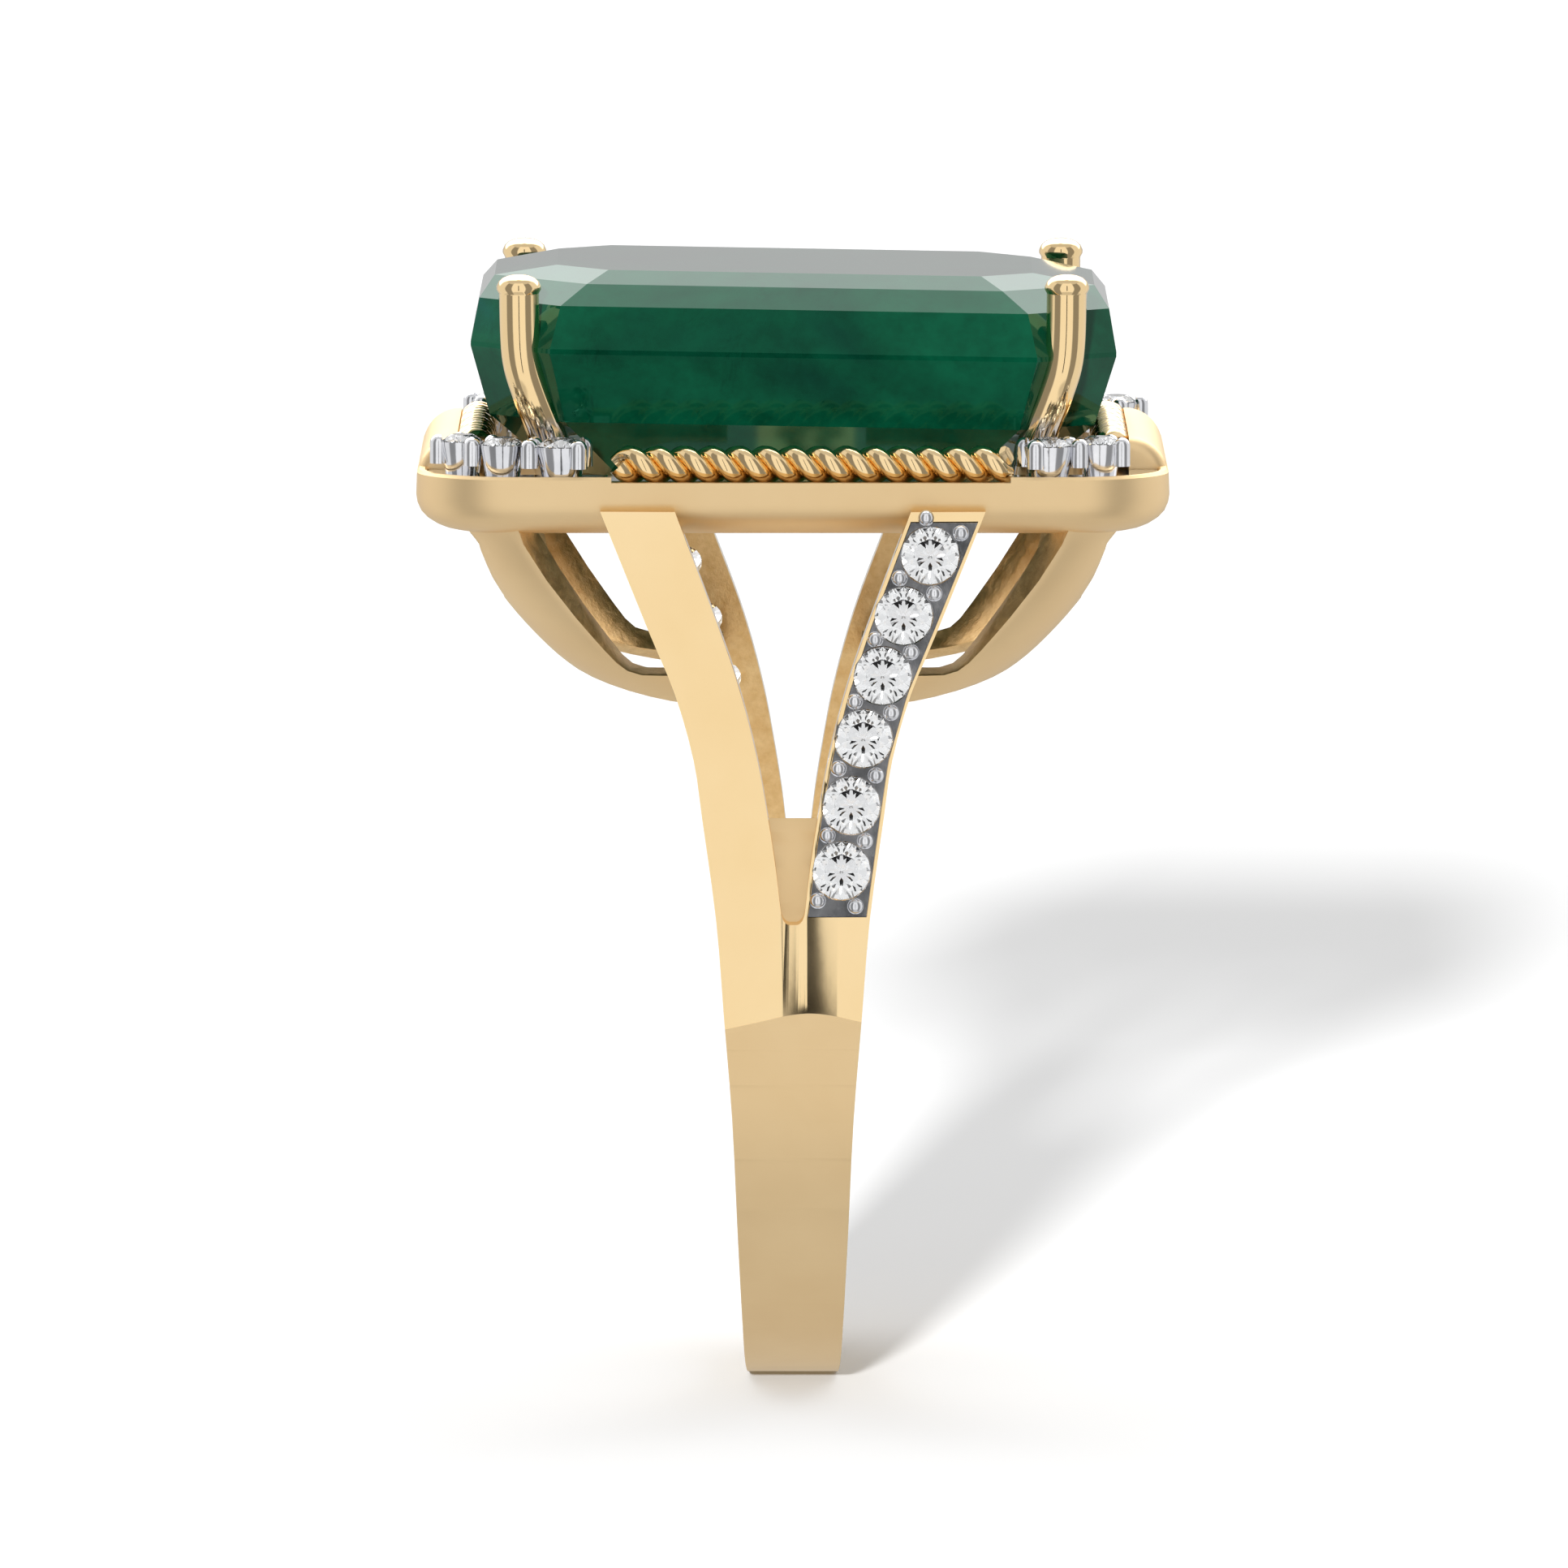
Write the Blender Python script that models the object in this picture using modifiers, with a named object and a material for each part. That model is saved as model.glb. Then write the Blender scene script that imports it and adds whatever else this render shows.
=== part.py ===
"""Emerald-cut cocktail ring: split shank, open gallery, rope-edged halo, claw-set stone and pave shoulders.

The origin is the centre of the finger hole, +X runs along the finger and +Z points to the centre stone.
Turning the ring half a turn about Z puts each shoulder and each corner on its twin.
"""

from math import acos, atan2, cos, hypot, pi, radians, sin

import bmesh
import bpy
from mathutils import Matrix, Vector

MM = 0.001
FIT = 0.02  # clearance between neighbouring pieces, mm

# Shank (mm)
BORE_RADIUS = 8.67
BAND_RADIUS = 10.2
SHOULDER_TOP_OUTER = (7.8, 12.25)  # distance from the XZ plane, height
SHOULDER_TOP_INNER = (6.85, 12.25)
BAND_EDGE = (  # height, half-width across the finger
    (-10.5, 1.08), (-9.6, 1.19), (-8.4, 1.25), (-5.7, 1.37), (-2.7, 1.5), (0.0, 1.71), (2.3, 1.9),
    (4.8, 2.25), (6.2, 2.46), (7.8, 2.92), (9.4, 3.6), (12.6, 4.92),
)
SPLIT_EDGE = (  # height, half-width of the split between the two branches
    (1.9, 0.16), (3.6, 0.42), (4.8, 0.62), (6.2, 0.88), (7.8, 1.29), (9.4, 1.83), (12.6, 3.06),
)
WEB_RADIUS = 9.3  # outer face of the web that joins the branches below the split
WEB_TOP_FRONT = 4.65
WEB_TOP_BACK = 2.6
EDGE_ROUND = 0.14

# Gallery basket (mm): height, half-length, half-width
BASKET_SECTIONS = (
    (11.55, 8.4, 6.65), (10.7, 7.88, 6.3), (9.9, 7.32, 6.0), (9.1, 6.68, 5.72),
    (8.3, 5.9, 5.42), (7.7, 5.1, 5.15), (7.1, 4.2, 4.9),
)
BASKET_CORNER = 2.0
BASKET_WALL = 1.0
RAIL_END = 1.75  # distance along X where the long rails of the two end frames stop
FOOT = ((1.75, 2.75), (4.4, 8.2), (7.15, 7.85))  # distance along X, distance along Y, height
LONG_WINDOW = ((6.6, 12.0), (6.5, 11.4), (5.6, 9.68), (4.85, 8.5), (4.3, 7.95), (3.9, 7.85))  # half-width, height
SHORT_WINDOW = ((5.6, 12.0), (5.5, 11.3), (4.3, 9.75), (3.7, 9.45))

# Halo rim (mm)
RIM_HALF_LENGTH = 9.38
RIM_HALF_WIDTH = 7.3
RIM_CORNER = 2.4
RIM_SECTION = (  # inward offset from the outline, height
    (0.0, 12.55), (0.06, 12.28), (0.24, 11.98), (0.52, 11.74), (0.9, 11.6), (2.0, 11.6), (2.0, 12.8), (0.14, 12.8),
)
BOLSTER_RADIUS = 0.95
BOLSTER_HALF = 4.3
BOLSTER_HEIGHT = 12.84

# Rope edging (mm)
ROPE_RADIUS = 0.42
ROPE_PITCH = 1.34
LONG_ROPE_SPAN = (-4.35, 5.3)
LONG_ROPE_INSET = 0.72
SHORT_ROPE_HALF = 4.0
SHORT_ROPE_INSET = 1.42
ROPE_HEIGHT = 13.27

# Corner plates (mm)
PLATE_DEPTH = (0.3, 1.5)  # inward offsets of its outer and inner edge
PLATE_HEIGHT = (12.82, 13.3)
CORNER_STONE_TOP = 13.72
LONG_CORNER_STONES = ((-5.75, -6.52, 0.6), (-7.2, -6.28, 0.52), (-8.22, -5.4, 0.5))  # x, y, radius
SHORT_CORNER_STONES = ((6.35, -6.45, 0.58), (7.62, -6.0, 0.5))
CORNER_BEAD = 0.2

# Centre stone (mm): height, half-length, half-width, corner cut along each side
STONE_LEVELS = (
    (17.86, 5.95, 3.75, 1.3),
    (17.57, 7.5, 4.6, 2.33),
    (17.08, 7.86, 5.4, 2.05),
    (16.05, 8.05, 6.0, 2.0),
    (15.93, 8.05, 6.0, 2.0),
    (14.18, 7.55, 5.4, 1.9),
    (12.7, 5.9, 3.9, 1.6),
    (11.75, 3.7, 1.6, 1.1),
    (11.3, 2.4, 0.3, 0.25),
)
STONE_TILT = 1.0  # degrees, its +X end low

# Claws (mm)
CLAW_RADIUS = 0.5
CLAW_PATH = (  # distance along X, distance along Y, height
    (5.95, 4.62, 12.86), (6.12, 4.84, 13.9), (6.54, 5.14, 15.0), (6.8, 5.46, 15.95), (6.84, 5.48, 17.5),
)
CLAW_CAP_RADIUS = 0.54
CLAW_CAP_HEIGHT = 17.72

# Pave shoulders (mm)
PAVE_DEPTH = 0.5
PAVE_LIP = 0.1
PAVE_HEIGHTS = (2.3, 12.0)
PAVE_STONE_RADIUS = 0.67
PAVE_STONES = ((3.42, 11.15), (2.74, 9.7), (2.22, 8.25), (1.74, 6.72), (1.44, 5.1), (1.2, 3.52))  # x, height
PAVE_BEAD = 0.17
AZURE_RADIUS = 0.42
GEM_PROFILE = ((0.56, 0.30), (1.0, 0.0), (1.0, -0.06), (0.12, -0.78))  # share of the radius: across, above the girdle

GOLD = (0.83, 0.60, 0.30)
RHODIUM = (0.80, 0.80, 0.82)
EMERALD = (0.01, 0.20, 0.11)
CLEAR = (0.93, 0.95, 0.97)


def clear_scene():
    for item in list(bpy.data.objects):
        bpy.data.objects.remove(item, do_unlink=True)


def new_collection(name):
    collection = bpy.data.collections.new(name)
    bpy.context.scene.collection.children.link(collection)
    return collection


def new_material(name, colour, roughness, metallic):
    material = bpy.data.materials.new(name)
    material.use_nodes = True
    shader = material.node_tree.nodes["Principled BSDF"]
    shader.inputs["Base Color"].default_value = (*colour, 1.0)
    shader.inputs["Roughness"].default_value = roughness
    shader.inputs["Metallic"].default_value = metallic
    return material


def add_object(name, mesh, collection):
    item = bpy.data.objects.new(name, mesh)
    collection.objects.link(item)
    return item


def finish(item, material, sharp_degrees=32.0):
    """Gives a piece its material and smooth shading with its creases kept."""
    item.data.materials.clear()
    item.data.materials.append(material)
    item.data.shade_smooth()
    item.data.set_sharp_from_angle(angle=radians(sharp_degrees))


def baked_mesh(item):
    graph = bpy.context.evaluated_depsgraph_get()
    return bpy.data.meshes.new_from_object(item.evaluated_get(graph))


def baked(item):
    """Applies an object's modifiers, so that later Booleans work on plain meshes."""
    mesh = baked_mesh(item)
    item.modifiers.clear()
    item.data = mesh
    return item


def boolean(item, operation, others):
    for other in others:
        modifier = item.modifiers.new(operation.lower(), "BOOLEAN")
        modifier.operation = operation
        modifier.solver = "EXACT"
        modifier.object = other
        baked(item)
    return item


def soften(item, width):
    """Chamfers every edge sharper than a right angle's half."""
    bevel = item.modifiers.new("soft_edges", "BEVEL")
    bevel.width = width * MM
    bevel.segments = 1
    bevel.limit_method = "ANGLE"
    bevel.angle_limit = radians(50)
    bevel.use_clamp_overlap = True
    return baked(item)


def mesh_object(name, build, collection):
    """A mesh object from a function that fills a bmesh in millimetres."""
    shape = bmesh.new()
    build(shape)
    bmesh.ops.recalc_face_normals(shape, faces=shape.faces)
    bmesh.ops.scale(shape, vec=(MM, MM, MM), verts=shape.verts)
    mesh = bpy.data.meshes.new(name)
    shape.to_mesh(mesh)
    shape.free()
    return add_object(name, mesh, collection)


def loft(shape, rings):
    """Skins a stack of rings with equal point counts and closes both ends."""
    loops = [[shape.verts.new(point) for point in ring] for ring in rings]
    count = len(loops[0])
    for lower, upper in zip(loops, loops[1:]):
        for i in range(count):
            j = (i + 1) % count
            shape.faces.new((lower[i], lower[j], upper[j], upper[i]))
    shape.faces.new(loops[0][::-1])
    shape.faces.new(loops[-1])


def poly_curve(name, points, dimensions, cyclic, collection):
    """A curve object with straight runs between points, in millimetres."""
    curve = bpy.data.curves.new(name, "CURVE")
    curve.dimensions = dimensions
    spline = curve.splines.new("POLY")
    spline.points.add(len(points) - 1)
    spline.use_cyclic_u = cyclic
    for place, point in zip(spline.points, points):
        place.co = (*(Vector(point).to_3d() * MM), 1.0)
    return add_object(name, curve, collection)


def solid_from_curve(item, collection):
    """Turns a curve object into a mesh object with its caps welded on, and removes the curve."""
    name = item.name
    mesh = baked_mesh(item)
    shape = bmesh.new()
    shape.from_mesh(mesh)
    bmesh.ops.remove_doubles(shape, verts=shape.verts, dist=1e-8)
    bmesh.ops.recalc_face_normals(shape, faces=shape.faces)
    shape.to_mesh(mesh)
    shape.free()
    place = item.matrix_world.copy()
    bpy.data.objects.remove(item, do_unlink=True)
    solid = add_object(name, mesh, collection)
    solid.matrix_world = place
    return solid


def prism(name, outline, axis, span, collection):
    """Extrudes a flat outline along X or Y. The outline gives (other horizontal axis, height)."""
    flat = poly_curve(name, outline, "2D", True, collection)
    flat.data.fill_mode = "BOTH"
    flat.data.extrude = abs(span[1] - span[0]) / 2 * MM
    solid = solid_from_curve(flat, collection)
    middle = (span[0] + span[1]) / 2 * MM
    if axis == "X":
        solid.location.x = middle
        solid.rotation_euler = (pi / 2, 0, pi / 2)
    else:
        solid.location.y = middle
        solid.rotation_euler.x = pi / 2
    return solid


def turned_solid(name, profile, sides, collection):
    """A turned solid about local Z. The profile gives (radius, height) from its top to its bottom."""
    mesh = bpy.data.meshes.new(name)
    points = [(0.0, 0.0, profile[0][1] * MM)]
    points += [(radius * MM, 0.0, height * MM) for radius, height in profile]
    points.append((0.0, 0.0, profile[-1][1] * MM))
    mesh.from_pydata(points, [(i, i + 1) for i in range(len(points) - 1)], [])
    item = add_object(name, mesh, collection)
    screw = item.modifiers.new("turned", "SCREW")
    screw.axis = "Z"
    screw.steps = screw.render_steps = sides
    screw.use_merge_vertices = True
    screw.merge_threshold = 1e-7
    return baked(item)


def point_along(item, centre, normal):
    """Places an object with its local Z along a direction, in millimetres."""
    turn = Vector(normal).to_track_quat("Z", "Y").to_matrix().to_4x4()
    item.matrix_world = Matrix.Translation(Vector(centre) * MM) @ turn
    return item


def smooth_line(points, steps):
    """A Catmull-Rom line through the points."""
    ends = [points[0], *points, points[-1]]
    line = []
    for p0, p1, p2, p3 in zip(ends, ends[1:], ends[2:], ends[3:]):
        for k in range(steps):
            t = k / steps
            line.append(tuple(
                0.5 * (2 * b + (c - a) * t + (2 * a - 5 * b + 4 * c - d) * t * t + (3 * b - 3 * c + d - a) * t**3)
                for a, b, c, d in zip(p0, p1, p2, p3)
            ))
    line.append(points[-1])
    return line


def width_at(edge, height):
    """Linear reading of a (height, half-width) table."""
    for (low, a), (high, b) in zip(edge, edge[1:]):
        if low <= height <= high:
            return a + (b - a) * (height - low) / (high - low)
    raise ValueError(f"height {height} is outside the table")


def shoulder_outline(radius, top, steps=28):
    """Closed outline seen along the finger: round the circle, then straight up to a flat top on both sides."""
    touch = atan2(top[1], top[0]) - acos(radius / hypot(*top))
    angles = [-pi / 2 + (touch + pi / 2) * k / steps for k in range(steps + 1)]
    right = [(radius * cos(a), radius * sin(a)) for a in angles] + [top]
    return right + [(-y, z) for y, z in right[:0:-1]]


def band_outline(edge):
    """Closed outline seen across the finger, from a (height, half-width) table."""
    right = [(x, z) for z, x in smooth_line(edge, 3)]
    return right + [(-x, z) for x, z in right[::-1]]


def rounded_rectangle(half_x, half_y, corner, height, steps=6):
    ring = []
    for quarter, (sx, sy) in enumerate(((1, 1), (-1, 1), (-1, -1), (1, -1))):
        for k in range(steps + 1):
            angle = pi / 2 * (quarter + k / steps)
            ring.append((
                sx * (half_x - corner) + corner * cos(angle),
                sy * (half_y - corner) + corner * sin(angle),
                height,
            ))
    return ring


def cylinder(name, radius, start, end, collection, sides=16):
    """A closed cylinder between two points, in millimetres."""
    a, b = Vector(start), Vector(end)

    def build(shape):
        bmesh.ops.create_cone(
            shape, cap_ends=True, segments=sides, radius1=radius, radius2=radius, depth=(b - a).length
        )

    return point_along(mesh_object(name, build, collection), (a + b) / 2, b - a)


def ball(name, radius, centre, collection, sides=8, rings=5):
    def build(shape):
        bmesh.ops.create_uvsphere(shape, u_segments=sides, v_segments=rings, radius=radius)

    item = mesh_object(name, build, collection)
    item.location = Vector(centre) * MM
    return item


def rim_ring(name, section, collection, grow=0.0):
    """Sweeps a section round the halo's rounded outline; grow swells the section on every side."""
    middle = sum((Vector(point) for point in section), Vector((0.0, 0.0))) / len(section)
    swollen = [Vector(point) + (Vector(point) - middle).normalized() * grow * 1.6 for point in section]
    path = poly_curve(
        name, rounded_rectangle(RIM_HALF_LENGTH, RIM_HALF_WIDTH, RIM_CORNER, 0.0), "2D", True, collection
    )
    profile = poly_curve(name + "_section", swollen, "2D", True, collection)
    path.data.bevel_mode = "OBJECT"
    path.data.bevel_object = profile
    solid = solid_from_curve(path, collection)
    bpy.data.objects.remove(profile, do_unlink=True)
    return solid


def shoulder_solid(name, radius, top, half_x, collection):
    return prism(name, shoulder_outline(radius, top), "X", (-half_x, half_x), collection)


def split_cutter(name, side, web_top, collection):
    """Cuts the split on one side: through above the web top, and as a groove down to the web below it."""
    edge = smooth_line(SPLIT_EDGE, 3)
    outline = [(x, z) for z, x in edge] + [(-x, z) for z, x in edge[::-1]]
    through = [(x, z) for x, z in outline if z > web_top]
    far = side * 13.0
    cutter = prism(name, through, "Y", (side * 5.0, far), collection)
    groove = prism(name + "_groove", outline, "Y", (side * 1.0, far), collection)
    web = cylinder(name + "_web", WEB_RADIUS, (-6, 0, 0), (6, 0, 0), collection, 64)
    boolean(groove, "DIFFERENCE", [web])
    return boolean(cutter, "UNION", [groove])


def pave_strip(name, side, grow, collection, helpers):
    """The strip of the shoulder's outer skin that the pave bar fills, swollen by grow."""
    sign = -side  # the front shoulder's bar lies on +X
    low, high = PAVE_HEIGHTS
    lip = PAVE_LIP - grow
    heights = [low - grow + (high - low + 2 * grow) * k / 10 for k in range(11)]
    outer = [(sign * (width_at(BAND_EDGE, z) - lip), z) for z in heights]
    inner = [(sign * (width_at(SPLIT_EDGE, z) + lip), z) for z in heights]
    strip = prism(name, outer + inner[::-1], "Y", (side * 4.0, side * 13.0), collection)
    skin = shoulder_solid(name + "_skin", BAND_RADIUS - FIT / 2 + grow, shifted_top(grow - FIT / 2), 7, helpers)
    core_depth = PAVE_DEPTH + grow
    core = shoulder_solid(name + "_core", BAND_RADIUS - core_depth, shifted_top(-core_depth), 7, helpers)
    boolean(strip, "INTERSECT", [skin])
    return boolean(strip, "DIFFERENCE", [core])


def shifted_top(shift):
    """The outer shoulder top moved outward, and well above the strip so that the line keeps its slope."""
    y, z = SHOULDER_TOP_OUTER
    return (y + shift - 0.32, z + 1.5)


def shoulder_surface(height):
    """Distance from the XZ plane of the shoulder's outer face at a height, and its outward unit normal (y, z)."""
    y1, z1 = SHOULDER_TOP_OUTER
    touch = atan2(z1, y1) - acos(BAND_RADIUS / hypot(y1, z1))
    touch_z = BAND_RADIUS * sin(touch)
    if height < touch_z:
        y = (BAND_RADIUS**2 - height**2) ** 0.5
        return y, (y / BAND_RADIUS, height / BAND_RADIUS)
    touch_y = BAND_RADIUS * cos(touch)
    share = (height - touch_z) / (z1 - touch_z)
    return touch_y + (y1 - touch_y) * share, (cos(touch), sin(touch))


def pave_seats():
    """Centre on the surface and outward normal of each shoulder stone, for the front shoulder."""
    seats = []
    for x, height in PAVE_STONES:
        y, (ny, nz) = shoulder_surface(height)
        seats.append((Vector((x, -y, height)), Vector((0, -ny, nz))))
    return seats


def turned(vector, side):
    """A front-shoulder vector, or its twin after half a turn when side is +1."""
    return vector if side < 0 else Vector((-vector.x, -vector.y, vector.z))


def gem(name, radius, centre, normal, collection, sides=10):
    """A round brilliant: table, crown, girdle and pavilion, its table facing along the normal."""
    profile = [(radius * share, radius * height) for share, height in GEM_PROFILE]
    return point_along(turned_solid(name, profile, sides, collection), centre, normal)


def seat_cutter(name, radius, centre, normal, hole_radius, depth, collection, sides=14):
    """One tool for a stone's seat: an open well above the girdle, a cone under it and a hole down to depth."""
    profile = [
        (radius + FIT, 2.0), (radius + FIT, -0.07 * radius), (hole_radius, -0.8 * radius), (hole_radius, -depth),
    ]
    return point_along(turned_solid(name, profile, sides, collection), centre, normal)


def main():
    clear_scene()
    ring = new_collection("cocktail_ring")
    helpers = new_collection("cutters")
    gold = new_material("gold", GOLD, 0.12, 1.0)
    rhodium = new_material("rhodium", RHODIUM, 0.15, 1.0)
    emerald = new_material("emerald", EMERALD, 0.08, 0.0)
    clear = new_material("clear_stone", CLEAR, 0.02, 0.0)
    make_shank(ring, helpers, gold)
    for index, side in enumerate((-1, 1)):
        place = ("front", "back")[index]
        make_pave_shoulder(place, side, ring, helpers, rhodium, clear)
    make_basket(ring, helpers, gold)
    make_rim(ring, helpers, gold)
    make_ropes(ring, gold)
    make_corners(ring, helpers, rhodium, clear)
    finish(step_cut("centre_stone", 0.0, ring), emerald, 2)
    make_claws(ring, helpers, gold)
    for item in helpers.objects:
        item.hide_render = True
        item.display_type = "WIRE"
    helpers.hide_render = True


def make_shank(ring, helpers, gold):
    """The band, its two split shoulders, the channels for the pave bars and the holes behind their stones."""
    shank = shoulder_solid("shank", BAND_RADIUS, SHOULDER_TOP_OUTER, 7, ring)
    band = prism("band_shape", band_outline(BAND_EDGE), "Y", (-12, 12), helpers)
    bore = shoulder_solid("bore", BORE_RADIUS, (SHOULDER_TOP_INNER[0] - 0.32, SHOULDER_TOP_INNER[1] + 2), 8, helpers)
    boolean(shank, "INTERSECT", [band])
    boolean(shank, "DIFFERENCE", [bore])
    splits = [
        split_cutter("split_front", -1, WEB_TOP_FRONT, helpers),
        split_cutter("split_back", 1, WEB_TOP_BACK, helpers),
    ]
    rim = rim_ring("rim_clearance", RIM_SECTION, helpers, grow=FIT * 1.5)
    boolean(shank, "DIFFERENCE", splits)
    soften(shank, EDGE_ROUND)
    boolean(shank, "DIFFERENCE", [rim])
    for side, place in ((-1, "front"), (1, "back")):
        channel = pave_strip(f"channel_{place}", side, FIT, helpers, helpers)
        holes = [
            cylinder(
                f"azure_{place}{i}", AZURE_RADIUS, turned(centre, side), turned(centre - normal * 3, side), helpers, 12
            )
            for i, (centre, normal) in enumerate(pave_seats())
        ]
        boolean(shank, "DIFFERENCE", [channel] + holes)
    finish(shank, gold)


def make_pave_shoulder(place, side, ring, helpers, rhodium, clear):
    """A pave bar with bead pairs between its stones, and the stones themselves."""
    seats = [(turned(centre, side), turned(normal, side)) for centre, normal in pave_seats()]
    bar = pave_strip(f"pave_bar_{place}", side, 0.0, ring, helpers)
    along = [(b[0] - a[0]) for a, b in zip(seats, seats[1:])]
    along.append(along[-1])
    beads = []
    for i, ((centre, normal), step) in enumerate(zip(seats, along)):
        across = step.cross(normal).normalized()
        middles = [centre + step / 2] if i else [centre - step / 2, centre + step / 2]
        for j, middle in enumerate(middles):
            for hand in (-1, 1):
                spot = middle + across * hand * 0.47
                beads.append(ball(f"{bar.name}_bead{i}{j}{hand}", PAVE_BEAD, spot, helpers))
    boolean(bar, "UNION", beads)
    boolean(bar, "DIFFERENCE", [
        seat_cutter(f"{bar.name}_seat{i}", PAVE_STONE_RADIUS, centre, normal, AZURE_RADIUS, 2.0, helpers)
        for i, (centre, normal) in enumerate(seats)
    ])
    finish(bar, rhodium)
    for i, (centre, normal) in enumerate(seats):
        stone = gem(f"shoulder_stone_{place}_{i + 1}", PAVE_STONE_RADIUS, centre, normal, ring)
        finish(stone, clear, 5)


def make_basket(ring, helpers, gold):
    """The open gallery: an end frame left and right, each two corner struts on a rail with two feet."""

    def body(inset, stretch):
        def build(shape):
            loft(shape, [
                rounded_rectangle(x - inset, y - inset, BASKET_CORNER - inset * 0.6, z + stretch * (z - 9.4), 4)
                for z, x, y in BASKET_SECTIONS[::-1]
            ])

        return build

    long_window = [(x, z) for x, z in LONG_WINDOW] + [(-x, z) for x, z in LONG_WINDOW[::-1]]
    short_window = [(y, z) for y, z in SHORT_WINDOW] + [(-y, z) for y, z in SHORT_WINDOW[::-1]]
    for sign, place in ((-1, "left"), (1, "right")):
        frame = mesh_object(f"gallery_{place}", body(0.0, 0.0), ring)
        feet = [foot_block(sign, hand, helpers) for hand in (-1, 1)]
        boolean(frame, "DIFFERENCE", [mesh_object("gallery_hollow", body(BASKET_WALL, 0.25), helpers)])
        boolean(frame, "UNION", feet)
        other_half = [(-sign * 12, 5), (sign * RAIL_END, 5), (sign * RAIL_END, 14), (-sign * 12, 14)]
        boolean(frame, "DIFFERENCE", [
            prism("other_half", other_half, "Y", (-10, 10), helpers),
            cylinder("gallery_bore", BORE_RADIUS + FIT, (-12, 0, 0), (12, 0, 0), helpers, 96),
            prism("long_window", long_window, "Y", (-9, 9), helpers),
            prism("short_window", short_window, "X", (-11, 11), helpers),
        ])
        finish(frame, gold)


def foot_block(sign, side, helpers):
    """The foot that reaches from a long rail to the inner face of the shank's branch, short of it by the clearance."""
    (x0, x1), (y0, y1), (z0, z1) = FOOT
    outline = [(sign * x0, z0), (sign * x1, z0), (sign * x1, z1), (sign * x0, z1)]
    foot = prism("foot", outline, "Y", sorted((side * y0, side * y1)), helpers)
    y, z = SHOULDER_TOP_INNER[0] - 0.32, SHOULDER_TOP_INNER[1] + 2
    inside = shoulder_solid("foot_room", BORE_RADIUS - FIT, (y - FIT, z), 8, helpers)
    return boolean(foot, "INTERSECT", [inside])


def make_rim(ring, helpers, gold):
    """The halo's rounded rectangular rim with a half-round bolster along each short end."""
    rim = rim_ring("halo_rim", RIM_SECTION, ring)
    bolsters = []
    for sign, end in ((-1, "left"), (1, "right")):
        x = sign * (RIM_HALF_LENGTH - BOLSTER_RADIUS - 0.02)
        y = BOLSTER_HALF
        bolster = cylinder(
            f"bolster_{end}", BOLSTER_RADIUS, (x, -y, BOLSTER_HEIGHT), (x, y, BOLSTER_HEIGHT), helpers, 24
        )
        inner = prism(
            f"bolster_trim_{end}",
            [(sign * (RIM_HALF_LENGTH - 2.6), 11), (sign * (RIM_HALF_LENGTH - 1.0), 11),
             (sign * (RIM_HALF_LENGTH - 1.0), 15), (sign * (RIM_HALF_LENGTH - 2.6), 15)],
            "Y", (-8, 8), helpers,
        )
        under = prism(
            f"bolster_under_{end}",
            [(sign * 6, 10), (sign * 12, 10), (sign * 12, 12.5), (sign * 6, 12.5)],
            "Y", (-8, 8), helpers,
        )
        bolsters.append(boolean(bolster, "DIFFERENCE", [inner, under]))
    boolean(rim, "UNION", bolsters)
    finish(rim, gold)


def rope(name, start, end, ring, material):
    """A two-strand rope: a lens-shaped bar twisted along its length."""
    a, b = Vector(start), Vector(end)
    turns = (b - a).length / ROPE_PITCH
    steps = round(turns * 6)
    lens = [
        (ROPE_RADIUS * cos(angle), 0.62 * ROPE_RADIUS * sin(angle)) for angle in [pi / 3 * k for k in range(6)]
    ]
    section = poly_curve(name + "_section", lens, "2D", True, ring)
    bar = poly_curve(name, [a.lerp(b, k / steps) for k in range(steps + 1)], "3D", False, ring)
    for k, point in enumerate(bar.data.splines[0].points):
        point.tilt = 2 * pi * turns * k / steps
    bar.data.bevel_mode = "OBJECT"
    bar.data.bevel_object = section
    bar.data.use_fill_caps = True
    solid = solid_from_curve(bar, ring)
    bpy.data.objects.remove(section, do_unlink=True)
    finish(solid, material)


def make_ropes(ring, gold):
    low, high = LONG_ROPE_SPAN
    y = RIM_HALF_WIDTH - LONG_ROPE_INSET
    x = RIM_HALF_LENGTH - SHORT_ROPE_INSET
    half = SHORT_ROPE_HALF
    rope("rope_front", (low, -y, ROPE_HEIGHT), (high, -y, ROPE_HEIGHT), ring, gold)
    rope("rope_back", (-high, y, ROPE_HEIGHT), (-low, y, ROPE_HEIGHT), ring, gold)
    rope("rope_left", (-x, -half, ROPE_HEIGHT), (-x, half, ROPE_HEIGHT), ring, gold)
    rope("rope_right", (x, -half, ROPE_HEIGHT), (x, half, ROPE_HEIGHT), ring, gold)


def make_corners(ring, helpers, rhodium, clear):
    """Four bright plates that carry the halo's corner stones: three stones on one diagonal, two on the other."""
    for place, stones in (
        ("front_left", LONG_CORNER_STONES),
        ("front_right", SHORT_CORNER_STONES),
        ("back_right", [half_turn_stone(s) for s in LONG_CORNER_STONES]),
        ("back_left", [half_turn_stone(s) for s in SHORT_CORNER_STONES]),
    ):
        make_corner(place, stones, ring, helpers, rhodium, clear)


def half_turn_stone(stone):
    x, y, radius = stone
    return (-x, -y, radius)


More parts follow.
